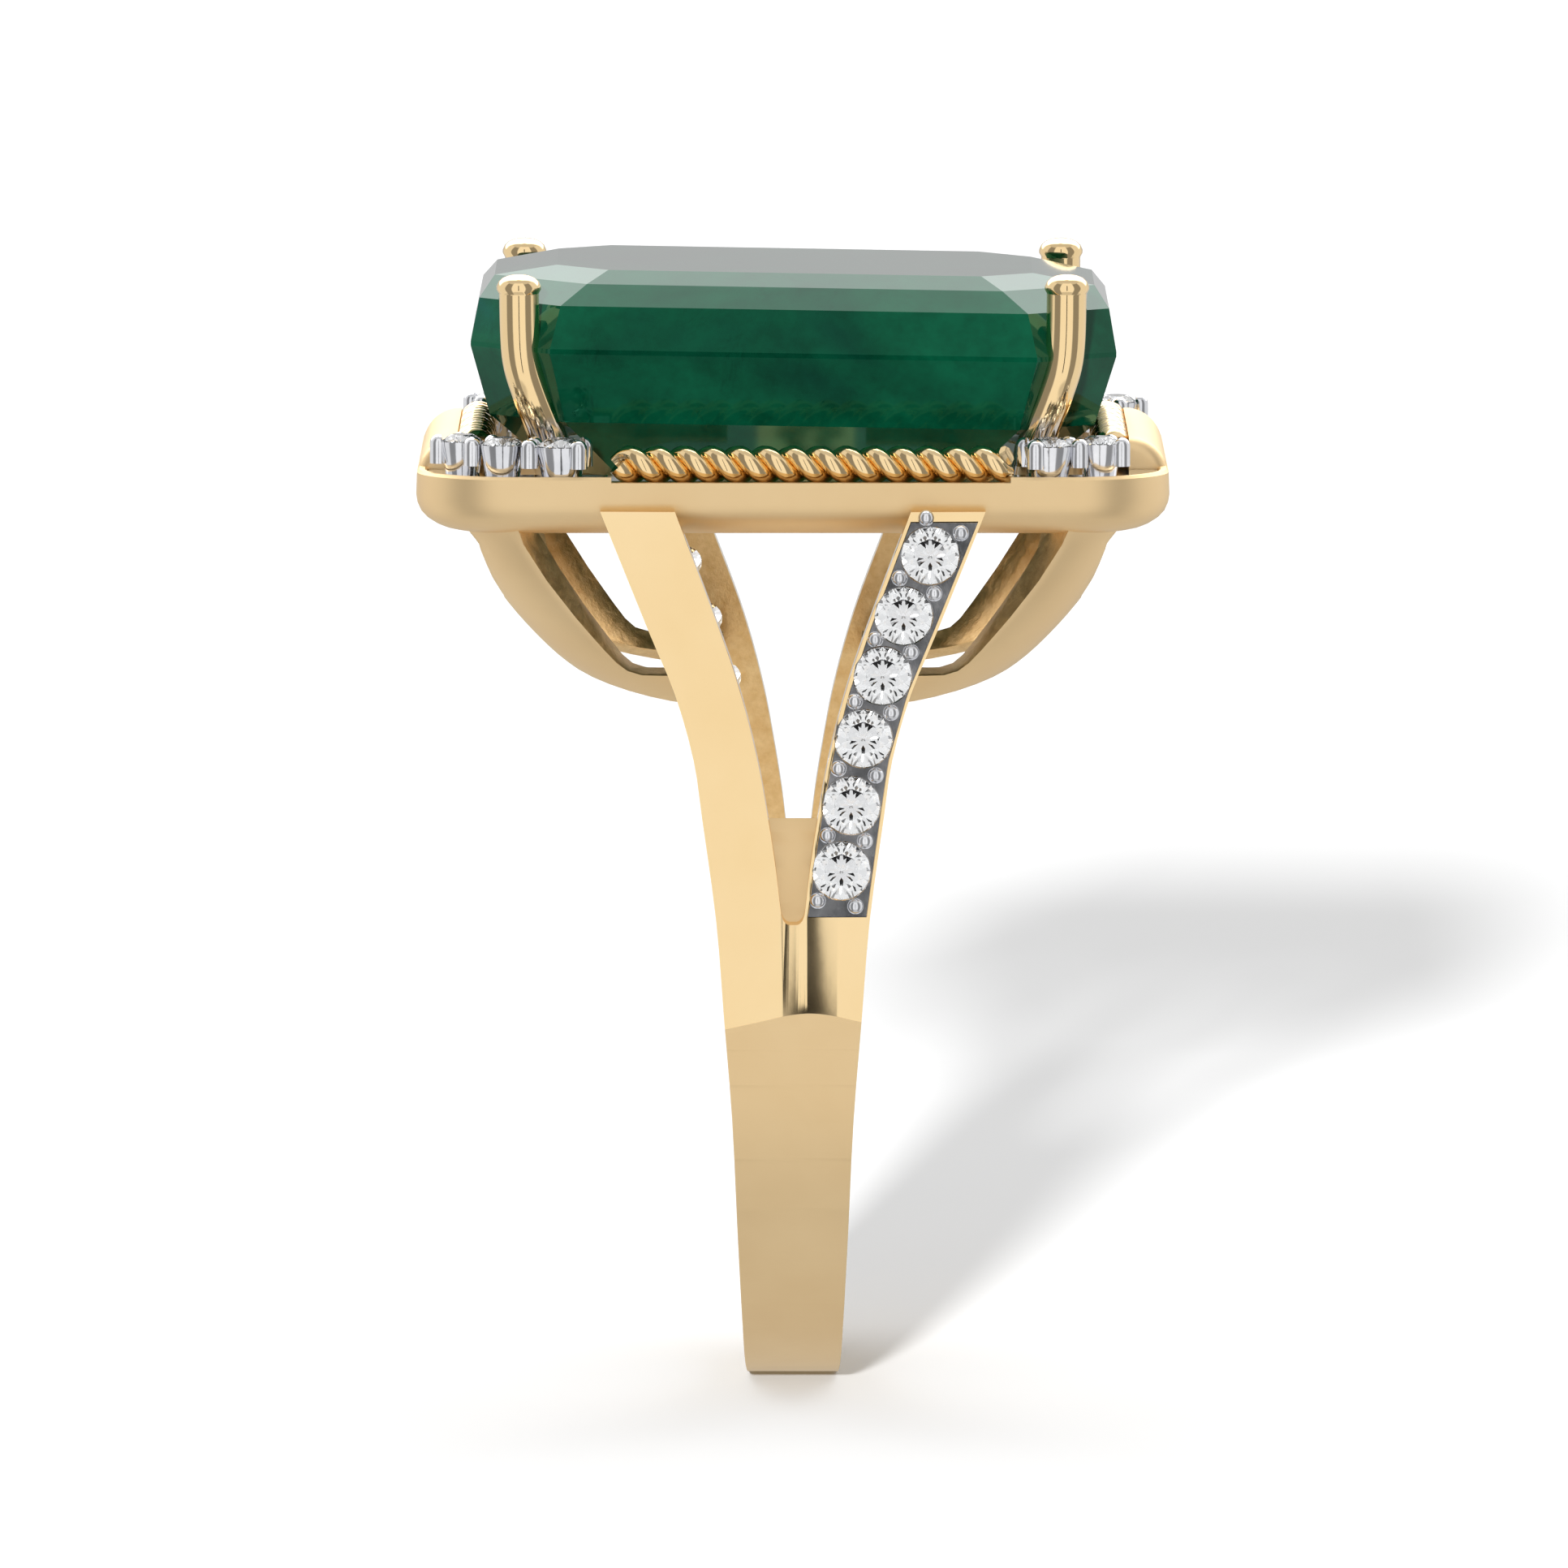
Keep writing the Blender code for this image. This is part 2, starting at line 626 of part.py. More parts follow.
def make_corner(place, stones, ring, helpers, rhodium, clear):
    low, high = PLATE_HEIGHT
    outer, inner = PLATE_DEPTH
    section = ((outer, low), (inner, low), (inner, high), (outer, high))
    plate = rim_ring(f"corner_plate_{place}", section, ring)
    sx = -1 if stones[0][0] < 0 else 1
    sy = -1 if stones[0][1] < 0 else 1
    is_long = len(stones) == 3
    near_x = 4.6 if is_long else 5.5
    keep = prism(
        f"corner_keep_{place}", [(sx * near_x, 12), (sx * 10, 12), (sx * 10, 14), (sx * near_x, 14)],
        "Y", (sy * BOLSTER_HALF + sy * 0.1, sy * 8), helpers,
    )
    boolean(plate, "INTERSECT", [keep])
    seats = [(Vector((x, y, CORNER_STONE_TOP - 0.3 * radius)), Vector((0, 0, 1))) for x, y, radius in stones]
    beads = []
    spots = [seat[0] for seat in seats]
    for i, (a, b) in enumerate(zip(spots, spots[1:])):
        across = (b - a).cross(Vector((0, 0, 1))).normalized()
        middle = (a + b) / 2
        for hand in (-1, 1):
            spot = middle + across * hand * 0.38
            beads.append(post(f"{plate.name}_post{i}{hand}", spot.x, spot.y, helpers))
    for i, (spot, toward) in enumerate(((spots[0], spots[1]), (spots[-1], spots[-2]))):
        away = (spot - toward).normalized() * (stones[0 if i == 0 else -1][2] + 0.1)
        across = away.cross(Vector((0, 0, 1))).normalized()
        for hand in (-1, 1):
            point = spot + away * 0.72 + across * hand * 0.4
            beads.append(post(f"{plate.name}_end{i}{hand}", point.x, point.y, helpers))
    boolean(plate, "UNION", beads)
    boolean(plate, "DIFFERENCE", [
        seat_cutter(f"{plate.name}_seat{i}", radius, centre, normal, 0.4 * radius, 1.2, helpers)
        for i, ((_, _, radius), (centre, normal)) in enumerate(zip(stones, seats))
    ])
    finish(plate, rhodium)
    for i, ((x, y, radius), (centre, normal)) in enumerate(zip(stones, seats)):
        stone = gem(f"corner_stone_{place}_{i + 1}", radius, centre, normal, ring)
        finish(stone, clear, 5)


def post(name, x, y, helpers):
    """A short prong with a domed end."""
    dome = [(CORNER_BEAD * cos(a), CORNER_BEAD * sin(a)) for a in (1.3, 0.7, 0.0)]
    pin = turned_solid(name, [*dome, (CORNER_BEAD, -0.5)], 8, helpers)
    pin.location = Vector((x, y, CORNER_STONE_TOP - CORNER_BEAD)) * MM
    return pin


def step_cut(name, grow, collection):
    """The emerald-cut centre stone, an eight-sided step cut, swollen by grow."""

    def build(shape):
        rings = []
        for z, hx, hy, cut in STONE_LEVELS[::-1]:
            hx, hy = hx + grow, hy + grow
            sx, sy = hx - cut, hy - cut
            corners = ((hx, sy), (sx, hy), (-sx, hy), (-hx, sy), (-hx, -sy), (-sx, -hy), (sx, -hy), (hx, -sy))
            rings.append([(x, y, z) for x, y in corners])
        loft(shape, rings)

    stone = mesh_object(name, build, collection)
    stone.rotation_euler.y = radians(STONE_TILT)
    stone.location.x = -15.0 * MM * sin(radians(STONE_TILT))
    return stone


def make_claws(ring, helpers, gold):
    """Four round wire claws, notched where they grip the centre stone, each ending in a low domed button."""
    stone = step_cut("claw_notch", FIT, helpers)
    for sx, sy, place in ((-1, -1, "front_left"), (1, -1, "front_right"), (-1, 1, "back_left"), (1, 1, "back_right")):
        path = smooth_line([(sx * x, sy * y, z) for x, y, z in CLAW_PATH], 3)
        wire = poly_curve(f"claw_{place}", path, "3D", False, ring)
        wire.data.bevel_depth = CLAW_RADIUS * MM
        wire.data.bevel_resolution = 2
        wire.data.use_fill_caps = True
        claw = solid_from_curve(wire, ring)
        top = path[-1]
        cap = ball(f"claw_cap_{place}", CLAW_CAP_RADIUS, (top[0], top[1], CLAW_CAP_HEIGHT), helpers, 12, 6)
        cap.scale.z = 0.5
        boolean(claw, "UNION", [cap])
        boolean(claw, "DIFFERENCE", [stone])
        finish(claw, gold)


main()
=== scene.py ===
"""Looks for the cocktail ring: fine geometry, materials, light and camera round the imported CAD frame.

Lengths are in millimetres in the code and metres in the scene. The origin is the centre of the finger hole,
+X runs along the finger and +Z points to the centre stone. Half a turn about Z puts the ring on itself.
"""

from math import acos, atan2, cos, hypot, pi, radians, sin, tan

import bmesh
import bpy
from mathutils import Matrix, Vector

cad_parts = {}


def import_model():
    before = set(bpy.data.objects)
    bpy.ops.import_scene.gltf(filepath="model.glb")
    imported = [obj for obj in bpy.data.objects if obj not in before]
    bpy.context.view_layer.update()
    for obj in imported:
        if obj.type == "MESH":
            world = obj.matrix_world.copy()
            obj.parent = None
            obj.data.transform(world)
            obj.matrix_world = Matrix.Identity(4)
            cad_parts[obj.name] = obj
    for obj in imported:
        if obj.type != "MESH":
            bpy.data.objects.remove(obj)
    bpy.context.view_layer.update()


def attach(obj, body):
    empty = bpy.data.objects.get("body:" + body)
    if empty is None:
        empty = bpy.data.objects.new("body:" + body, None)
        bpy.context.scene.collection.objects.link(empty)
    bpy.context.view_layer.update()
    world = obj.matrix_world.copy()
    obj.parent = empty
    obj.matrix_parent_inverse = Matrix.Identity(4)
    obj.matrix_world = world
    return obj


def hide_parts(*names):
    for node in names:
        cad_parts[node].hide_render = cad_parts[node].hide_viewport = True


MM = 0.001

# Shank
BORE_RADIUS = 8.67
BAND_RADIUS = 10.2
CREASE_HEIGHT = 0.05  # where the straight shoulder leaves the round band
CREASE_REACH = 10.198  # distance of the pave bar's crease from the XZ plane
RIDGE_X = 0.42
RIDGE_WIDTH = 0.6
RIDGE_SLOPE = 0.05
RIDGE_REACH = 5.0  # how far to each side of the ridge the roof falls
ROOF_HALF = 6.0
SHOULDER_TOP_OUTER = (7.8, 12.25)  # distance from the XZ plane, height
SHOULDER_TOP_INNER = (6.85, 12.25)
BRANCH_EXTRA = 0.32  # how much the branches thicken inwards by the time they reach the halo
SHANK_EDGE = 0.28
BAND_EDGE = (  # height, half-width across the finger
    (-10.5, 1.08), (-9.6, 1.19), (-8.4, 1.25), (-5.7, 1.37), (-2.7, 1.5), (0.0, 1.71), (2.3, 1.9),
    (4.8, 2.25), (6.2, 2.46), (7.8, 2.92), (9.4, 3.6), (12.6, 4.92),
)
SPLIT_EDGE = (  # height, half-width of the split between the branches
    (2.2, 0.1), (2.24, 0.18), (2.36, 0.26), (2.6, 0.31), (3.6, 0.43), (4.8, 0.62), (6.2, 0.88), (7.8, 1.29),
    (9.4, 1.83), (12.6, 3.06),
)
WEB_RADIUS = 9.3  # outer face of the web that closes the split's lower end
BACK_SPLIT_SHIFT = 0.15
WEB_TOP = {-1: 4.65, 1: 2.6}  # front and back

# Gallery end frames: height, half-length, half-width
BASKET_SECTIONS = (
    (11.95, 8.75, 6.95), (11.62, 8.42, 6.68), (10.7, 7.88, 6.3), (9.9, 7.32, 6.0), (9.1, 6.68, 5.72),
    (8.3, 5.9, 5.42), (7.7, 5.1, 5.15), (7.16, 4.2, 4.9),
)
BASKET_CORNER = 2.1
BASKET_WALL = 1.0
WINDOW_DRAFT = 0.26  # how much smaller a window is on the inside
RAIL_END = 1.75  # distance along X where the long rails stop
FOOT = ((1.75, 2.75), (4.4, 8.2), (7.15, 7.85))  # distance along X, distance along Y, height
LONG_WINDOW = (  # half-width, height
    (6.9, 12.4), (6.62, 11.4), (6.1, 10.35), (5.5, 9.35), (4.9, 8.45), (4.6, 8.03), (4.35, 7.8), (4.0, 7.7),
)
SHORT_WINDOW = ((5.75, 12.4), (5.6, 11.3), (4.5, 9.75), (4.1, 9.5), (3.7, 9.4))

# Halo rim
RIM_HALF_LENGTH = 9.38
RIM_HALF_WIDTH = 7.3
RIM_CORNER = 2.4
RIM_SECTION = (  # inward offset from the outline, height
    (0.0, 12.45), (0.03, 12.25), (0.12, 12.05), (0.28, 11.88), (0.5, 11.74), (0.72, 11.65), (0.95, 11.6),
    (2.0, 11.6), (2.0, 12.8), (0.27, 12.8), (0.27, 13.02), (0.22, 13.07), (0.08, 13.07), (0.02, 13.0),
)
LIP_GAP = (-4.5, 5.4)  # where the front lip opens for the rope, along X
LIP_GAP_HEIGHT = 12.93
BOLSTER_RADIUS = 0.95
BOLSTER_HALF = 4.3
BOLSTER_HEIGHT = 12.84

# Rope edging
STRAND_RADIUS = 0.25
STRAND_ORBIT = 0.24
ROPE_PITCH = 1.34
LONG_ROPE_SPAN = (-4.35, 5.3)
LONG_ROPE_INSET = 0.72
SHORT_ROPE_HALF = 4.0
SHORT_ROPE_INSET = 1.42
LONG_ROPE_HEIGHT = 13.32
SHORT_ROPE_HEIGHT = 13.5

# Corner plates
PLATE_DEPTH = (0.3, 1.5)  # inward offsets of its outer and inner edge
PLATE_HEIGHT = (12.82, 13.0)
CORNER_STONE_TOP = 13.98
LONG_CORNER_STONES = ((-5.75, -6.52, 0.6), (-7.2, -6.28, 0.52), (-8.22, -5.4, 0.5))  # x, y, radius
SHORT_CORNER_STONES = ((6.35, -6.45, 0.58), (7.62, -6.0, 0.5))
CORNER_BEAD = 0.22

# Centre stone: height, half-length, half-width, corner cut
STONE_LEVELS = (
    (17.86, 5.95, 3.75, 1.3),
    (17.57, 7.5, 4.6, 2.33),
    (17.08, 7.86, 5.4, 2.05),
    (16.05, 8.05, 6.0, 2.0),
    (15.93, 8.05, 6.0, 2.0),
    (14.18, 7.55, 5.4, 1.9),
    (12.7, 5.9, 3.9, 1.6),
    (11.75, 3.7, 1.6, 1.1),
    (11.3, 2.4, 0.3, 0.25),
)
STONE_TILT = 1.0  # degrees, its +X end low

# Claws
CLAW_RADIUS = 0.5
CLAW_PATH = (  # distance along X, distance along Y, height
    (5.9, 4.72, 12.86), (6.1, 4.9, 13.9), (6.5, 5.2, 15.0), (6.76, 5.44, 16.0), (6.81, 5.48, 17.6),
)
CLAW_CAP = (  # radius, height
    (0.5, 17.5), (0.555, 17.6), (0.555, 17.68), (0.5, 17.8), (0.4, 17.89), (0.25, 17.95), (0.1, 17.975),
)

# Pave shoulders
PAVE_DEPTH = 0.5
PAVE_LIP = 0.1
PAVE_CLEARANCE = 0.015
PAVE_HEIGHTS = (2.4, 12.0)
PAVE_STONE_RADIUS = 0.72
PAVE_STONES = ((3.4, 11.2), (2.74, 9.73), (2.22, 8.27), (1.74, 6.74), (1.44, 5.11), (1.2, 3.52))  # x, height
PAVE_BEAD = 0.2
BEAD_OFFSET = 0.47
AZURE_RADIUS = 0.42

# Camera and stage
CAMERA_DISTANCE = 500.0
CAMERA_ELEVATION = 6.3
AIM = (-0.22, 0.0, 4.63)
FIELD_WIDTH = 39.5
FLOOR_HEIGHT = -10.22
FLOOR_HALF = 900.0
ROOM_LEVEL = 0.66
SUN_POWER = 10.0
SUN_ANGLE = 4.0
SUN_ELEVATION = 14.4
SUN_AZIMUTH = -8.0


# ---------------------------------------------------------------- shapes


def link(name, data):
    item = bpy.data.objects.new(name, data)
    bpy.context.scene.collection.objects.link(item)
    return item


def baked_mesh(item):
    graph = bpy.context.evaluated_depsgraph_get()
    return bpy.data.meshes.new_from_object(item.evaluated_get(graph))


def baked(item):
    mesh = baked_mesh(item)
    item.modifiers.clear()
    item.data = mesh
    return item


def boolean(item, operation, others):
    """Applies Booleans one by one and removes the tools."""
    for other in others:
        modifier = item.modifiers.new(operation.lower(), "BOOLEAN")
        modifier.operation = operation
        modifier.solver = "EXACT"
        modifier.object = other
        baked(item)
        bpy.data.objects.remove(other, do_unlink=True)
    return item


def mesh_object(name, build):
    shape = bmesh.new()
    build(shape)
    bmesh.ops.recalc_face_normals(shape, faces=shape.faces)
    bmesh.ops.scale(shape, vec=(MM, MM, MM), verts=shape.verts)
    mesh = bpy.data.meshes.new(name)
    shape.to_mesh(mesh)
    shape.free()
    return link(name, mesh)


def loft(shape, rings):
    loops = [[shape.verts.new(point) for point in ring] for ring in rings]
    count = len(loops[0])
    for lower, upper in zip(loops, loops[1:]):
        for i in range(count):
            j = (i + 1) % count
            shape.faces.new((lower[i], lower[j], upper[j], upper[i]))
    shape.faces.new(loops[0][::-1])
    shape.faces.new(loops[-1])


def poly_curve(name, lines, dimensions="3D", cyclic=False):
    """A curve object with one straight-run spline for each line of points."""
    curve = bpy.data.curves.new(name, "CURVE")
    curve.dimensions = dimensions
    for points in lines:
        spline = curve.splines.new("POLY")
        spline.points.add(len(points) - 1)
        spline.use_cyclic_u = cyclic
        for place, point in zip(spline.points, points):
            place.co = (*(Vector(point).to_3d() * MM), 1.0)
    return link(name, curve)


def solid_from_curve(item):
    name = item.name
    mesh = baked_mesh(item)
    shape = bmesh.new()
    shape.from_mesh(mesh)
    bmesh.ops.remove_doubles(shape, verts=shape.verts, dist=1e-8)
    bmesh.ops.recalc_face_normals(shape, faces=shape.faces)
    shape.to_mesh(mesh)
    shape.free()
    bpy.data.objects.remove(item, do_unlink=True)
    return link(name, mesh)


def prism(name, outline, axis, span):
    """Extrudes an outline of (other horizontal axis, height) along X or Y."""
    flat = poly_curve(name, [outline], "2D", True)
    flat.data.fill_mode = "BOTH"
    flat.data.extrude = abs(span[1] - span[0]) / 2 * MM
    solid = solid_from_curve(flat)
    middle = (span[0] + span[1]) / 2 * MM
    if axis == "X":
        solid.location.x = middle
        solid.rotation_euler = (pi / 2, 0, pi / 2)
    else:
        solid.location.y = middle
        solid.rotation_euler.x = pi / 2
    return solid


def turned_solid(name, profile, sides):
    mesh = bpy.data.meshes.new(name)
    points = [(0.0, 0.0, profile[0][1] * MM)]
    points += [(radius * MM, 0.0, height * MM) for radius, height in profile]
    points.append((0.0, 0.0, profile[-1][1] * MM))
    mesh.from_pydata(points, [(i, i + 1) for i in range(len(points) - 1)], [])
    item = link(name, mesh)
    screw = item.modifiers.new("turned", "SCREW")
    screw.axis = "Z"
    screw.steps = screw.render_steps = sides
    screw.use_merge_vertices = True
    screw.merge_threshold = 1e-7
    return baked(item)


def point_along(item, centre, normal):
    turn = Vector(normal).to_track_quat("Z", "Y").to_matrix().to_4x4()
    item.matrix_world = Matrix.Translation(Vector(centre) * MM) @ turn
    return item


def cylinder(name, radius, start, end, sides=64):
    a, b = Vector(start), Vector(end)

    def build(shape):
        bmesh.ops.create_cone(
            shape, cap_ends=True, segments=sides, radius1=radius, radius2=radius, depth=(b - a).length
        )

    return point_along(mesh_object(name, build), (a + b) / 2, b - a)


def ball(name, radius, centre, sides=20, rings=12):
    def build(shape):
        bmesh.ops.create_uvsphere(shape, u_segments=sides, v_segments=rings, radius=radius)

    item = mesh_object(name, build)
    item.location = Vector(centre) * MM
    return item


def soften(item, width, segments=3, degrees=40, share=lambda point: 1.0):
    """Rounds the edges sharper than the angle. The share of the width may vary from place to place."""
    shape = bmesh.new()
    shape.from_mesh(item.data)
    bmesh.ops.remove_doubles(shape, verts=shape.verts[:], dist=0.004 * MM)
    layer = shape.edges.layers.float.new("bevel_weight_edge")
    for edge in shape.edges:
        if edge.is_manifold and edge.calc_face_angle() > radians(degrees):
            edge[layer] = share((edge.verts[0].co + edge.verts[1].co) / 2 / MM)
    shape.to_mesh(item.data)
    shape.free()
    bevel = item.modifiers.new("soft_edges", "BEVEL")
    bevel.width = width * MM
    bevel.segments = segments
    bevel.limit_method = "WEIGHT"
    return baked(item)


def smooth_line(points, steps):
    """Points along a smooth (Catmull-Rom) curve through the given ones."""
    ends = [points[0], *points, points[-1]]
    line = []
    for p0, p1, p2, p3 in zip(ends, ends[1:], ends[2:], ends[3:]):
        for k in range(steps):
            t = k / steps
            line.append(tuple(
                0.5 * (2 * b + (c - a) * t + (2 * a - 5 * b + 4 * c - d) * t * t
                       + (3 * b - 3 * c + d - a) * t**3)
                for a, b, c, d in zip(p0, p1, p2, p3)
            ))
    line.append(points[-1])
    return line


def mirrored(outline):
    """Closes a half outline by its mirror image."""
    return list(outline) + [(-a, b) for a, b in outline[::-1]]


def width_at(edge, height):
    """Half-width at a height, read from a table of (height, half-width)."""
    for (low, a), (high, b) in zip(edge, edge[1:]):
        if low <= height <= high:
            return a + (b - a) * (height - low) / (high - low)
    raise ValueError(f"height {height} is outside the table")


def shoulder_outline(radius, top, crease=None, steps=90):
    """Closed outline seen along the finger: a circle whose sides run straight from the crease to the top.

    Without a crease the straight sides are tangent to the circle.
    """
    start = atan2(top[1], top[0]) - acos(radius / hypot(*top)) if crease is None else crease / radius
    angles = [-pi / 2 + (start + pi / 2) * k / steps for k in range(steps + 1)]
    right = [(radius * cos(a), radius * sin(a)) for a in angles] + [top]
    return right + [(-y, z) for y, z in right[:0:-1]]


def rounded_rectangle(half_x, half_y, corner, height, steps=14):
    ring = []
    for quarter, (sx, sy) in enumerate(((1, 1), (-1, 1), (-1, -1), (1, -1))):
        for k in range(steps + 1):
            angle = pi / 2 * (quarter + k / steps)
            ring.append((
                sx * (half_x - corner) + corner * cos(angle),
                sy * (half_y - corner) + corner * sin(angle),
                height,
            ))
    return ring


def rim_ring(name, section):
    """Sweeps a section of (inward offset, height) round the halo's outline."""
    outline = rounded_rectangle(RIM_HALF_LENGTH, RIM_HALF_WIDTH, RIM_CORNER, 0.0)
    path = poly_curve(name, [outline], "2D", True)
    profile = poly_curve(name + "_section", [section], "2D", True)
    path.data.bevel_mode = "OBJECT"
    path.data.bevel_object = profile
    solid = solid_from_curve(path)
    bpy.data.objects.remove(profile, do_unlink=True)
    return solid


# ---------------------------------------------------------------- materials


class Nodes:
    """A short way to write a Principled material's node tree."""

    def __init__(self, name):
        self.material = bpy.data.materials.new(name)
        self.material.use_nodes = True
        self.tree = self.material.node_tree
        self.shader = self.tree.nodes["Principled BSDF"]
        self.position = self.tree.nodes.new("ShaderNodeTexCoord").outputs["Object"]

    def noise(self, scale, detail=4.0, roughness=0.55, stretch=(1, 1, 1), distortion=0.0):
        mapping = self.tree.nodes.new("ShaderNodeMapping")
        mapping.inputs["Scale"].default_value = stretch
        self.tree.links.new(self.position, mapping.inputs["Vector"])
        noise = self.tree.nodes.new("ShaderNodeTexNoise")
        noise.inputs["Scale"].default_value = scale
        noise.inputs["Detail"].default_value = detail
        noise.inputs["Roughness"].default_value = roughness
        noise.inputs["Distortion"].default_value = distortion
        self.tree.links.new(mapping.outputs["Vector"], noise.inputs["Vector"])
        return noise.outputs["Fac"]

    def ramp(self, value, stops):
        ramp = self.tree.nodes.new("ShaderNodeValToRGB")
        band = ramp.color_ramp
        while len(band.elements) < len(stops):
            band.elements.new(0.5)
        for element, (place, colour) in zip(band.elements, stops):
            element.position = place
            element.color = (*colour, 1.0)
        self.tree.links.new(value, ramp.inputs["Fac"])
        return ramp.outputs["Color"]

    def spread(self, value, low, high):
        span = self.tree.nodes.new("ShaderNodeMapRange")
        span.inputs["To Min"].default_value = low
        span.inputs["To Max"].default_value = high
        self.tree.links.new(value, span.inputs["Value"])
        return span.outputs["Result"]

    def mix(self, share, a, b, mode="MIX"):
        mix = self.tree.nodes.new("ShaderNodeMix")
        mix.data_type = "RGBA"
        mix.blend_type = mode
        for socket, value in ((mix.inputs[0], share), (mix.inputs[6], a), (mix.inputs[7], b)):
            if isinstance(value, (int, float)):
                socket.default_value = value
            elif isinstance(value, tuple):
                socket.default_value = (*value, 1.0)
            else:
                self.tree.links.new(value, socket)
        return mix.outputs[2]

    def bump(self, height, strength, distance):
        bump = self.tree.nodes.new("ShaderNodeBump")
        bump.inputs["Strength"].default_value = strength
        bump.inputs["Distance"].default_value = distance * MM
        self.tree.links.new(height, bump.inputs["Height"])
        self.tree.links.new(bump.outputs["Normal"], self.shader.inputs["Normal"])

    def set(self, **values):
        for name, value in values.items():
            socket = self.shader.inputs[name.replace("_", " ")]
            if isinstance(value, bpy.types.NodeSocket):
                self.tree.links.new(value, socket)
            elif isinstance(value, tuple):
                socket.default_value = (*value, 1.0)
            else:
                socket.default_value = value
        return self.material


def polished_gold():
    nodes = Nodes("polished_gold")
    cloud = nodes.noise(300, 3)
    colour = nodes.ramp(cloud, ((0.3, (0.92, 0.68, 0.36)), (0.7, (0.96, 0.73, 0.41))))
    nodes.bump(nodes.noise(900, 3, 0.5), 0.1, 0.012)
    return nodes.set(Base_Color=colour, Metallic=1.0, Roughness=nodes.spread(cloud, 0.04, 0.12))


def satin_gold():
    nodes = Nodes("satin_gold")
    cloud = nodes.noise(250, 4)
    colour = nodes.ramp(cloud, ((0.3, (0.90, 0.66, 0.36)), (0.7, (0.96, 0.73, 0.42))))
    nodes.bump(nodes.noise(6000, 3, 0.6), 0.15, 0.006)
    return nodes.set(Base_Color=colour, Metallic=1.0, Roughness=nodes.spread(cloud, 0.42, 0.52))


def cast_gold():
    nodes = Nodes("cast_gold")
    lumps = nodes.noise(2600, 6, 0.65)
    colour = nodes.ramp(lumps, ((0.3, (0.72, 0.47, 0.20)), (0.7, (0.95, 0.70, 0.36))))
    nodes.bump(lumps, 0.6, 0.06)
    return nodes.set(Base_Color=colour, Metallic=1.0, Roughness=nodes.spread(lumps, 0.3, 0.6))


def claw_gold():
    """Gold that keeps a white bloom of rhodium at the foot of the claw."""
    nodes = Nodes("claw_gold")
    axes = nodes.tree.nodes.new("ShaderNodeSeparateXYZ")
    nodes.tree.links.new(nodes.position, axes.inputs[0])
    foot = nodes.tree.nodes.new("ShaderNodeMapRange")
    foot.inputs["From Min"].default_value = 13.95 * MM
    foot.inputs["From Max"].default_value = 14.45 * MM
    nodes.tree.links.new(axes.outputs[2], foot.inputs["Value"])
    gold = nodes.ramp(nodes.noise(300, 3), ((0.3, (0.92, 0.68, 0.36)), (0.7, (0.96, 0.73, 0.41))))
    colour = nodes.mix(foot.outputs["Result"], (0.78, 0.77, 0.78), gold)
    nodes.bump(nodes.noise(1500, 3, 0.5), 0.15, 0.015)
    return nodes.set(Base_Color=colour, Metallic=1.0, Roughness=0.07)


def rhodium():
    nodes = Nodes("rhodium")
    cloud = nodes.noise(900, 4)
    colour = nodes.ramp(cloud, ((0.3, (0.70, 0.71, 0.74)), (0.7, (0.88, 0.88, 0.90))))
    nodes.bump(nodes.noise(3000, 4), 0.2, 0.01)
    return nodes.set(Base_Color=colour, Metallic=1.0, Roughness=nodes.spread(cloud, 0.06, 0.16))


def green_stone():
    nodes = Nodes("green_stone")
    cloud = nodes.noise(170, 5, 0.6, (0.7, 0.7, 1.0), 0.6)
    grain = nodes.noise(900, 8, 0.7)
    veins = nodes.noise(380, 10, 0.75, (1, 1, 0.4), 1.2)
    body = nodes.ramp(cloud, (
        (0.30, (0.0003, 0.0070, 0.0045)), (0.46, (0.0004, 0.0175, 0.0080)),
        (0.60, (0.0006, 0.0260, 0.0120)), (0.75, (0.0010, 0.0240, 0.0200)),
    ))
    fleck_tone = nodes.ramp(grain, ((0.35, (0.25, 0.3, 0.28)), (0.6, (1.0, 1.0, 1.0))))
    flecked = nodes.mix(0.55, body, fleck_tone, "MULTIPLY")
    vein_tone = nodes.ramp(veins, ((0.30, (0.25, 0.3, 0.3)), (0.42, (1.0, 1.0, 1.0))))
    veined = nodes.mix(0.8, flecked, vein_tone, "MULTIPLY")
    return nodes.set(Base_Color=veined, Roughness=0.06, IOR=1.6, Specular_Tint=(0.1, 0.5, 0.3))


def clear_stone():
    nodes = Nodes("clear_stone")
    return nodes.set(
        Base_Color=nodes.ramp(nodes.noise(600, 2), ((0.0, (0.93, 0.95, 0.97)), (1.0, (1.0, 1.0, 1.0)))),
        Roughness=0.0, IOR=2.2, Transmission_Weight=1.0,
    )


def stage_paper():
    nodes = Nodes("stage_paper")
    tone = nodes.ramp(nodes.noise(40, 2), ((0.0, (0.52, 0.52, 0.52)), (1.0, (0.54, 0.54, 0.54))))
    return nodes.set(Base_Color=tone, Roughness=1.0, Specular_IOR_Level=0.0)


# ---------------------------------------------------------------- pieces


def dress(item, material, replaced, degrees=30, flat=False):
    """Gives a piece its material and its place on the frame."""
    item.data.materials.clear()
    item.data.materials.append(material)
    if flat:
        item.data.shade_flat()
    else:
        item.data.shade_smooth()
        item.data.set_sharp_from_angle(angle=radians(degrees))
        weighted = item.modifiers.new("even_shading", "WEIGHTED_NORMAL")
        weighted.keep_sharp = True
        baked(item)
    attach(item, "root")
    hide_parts(*replaced)
    return item


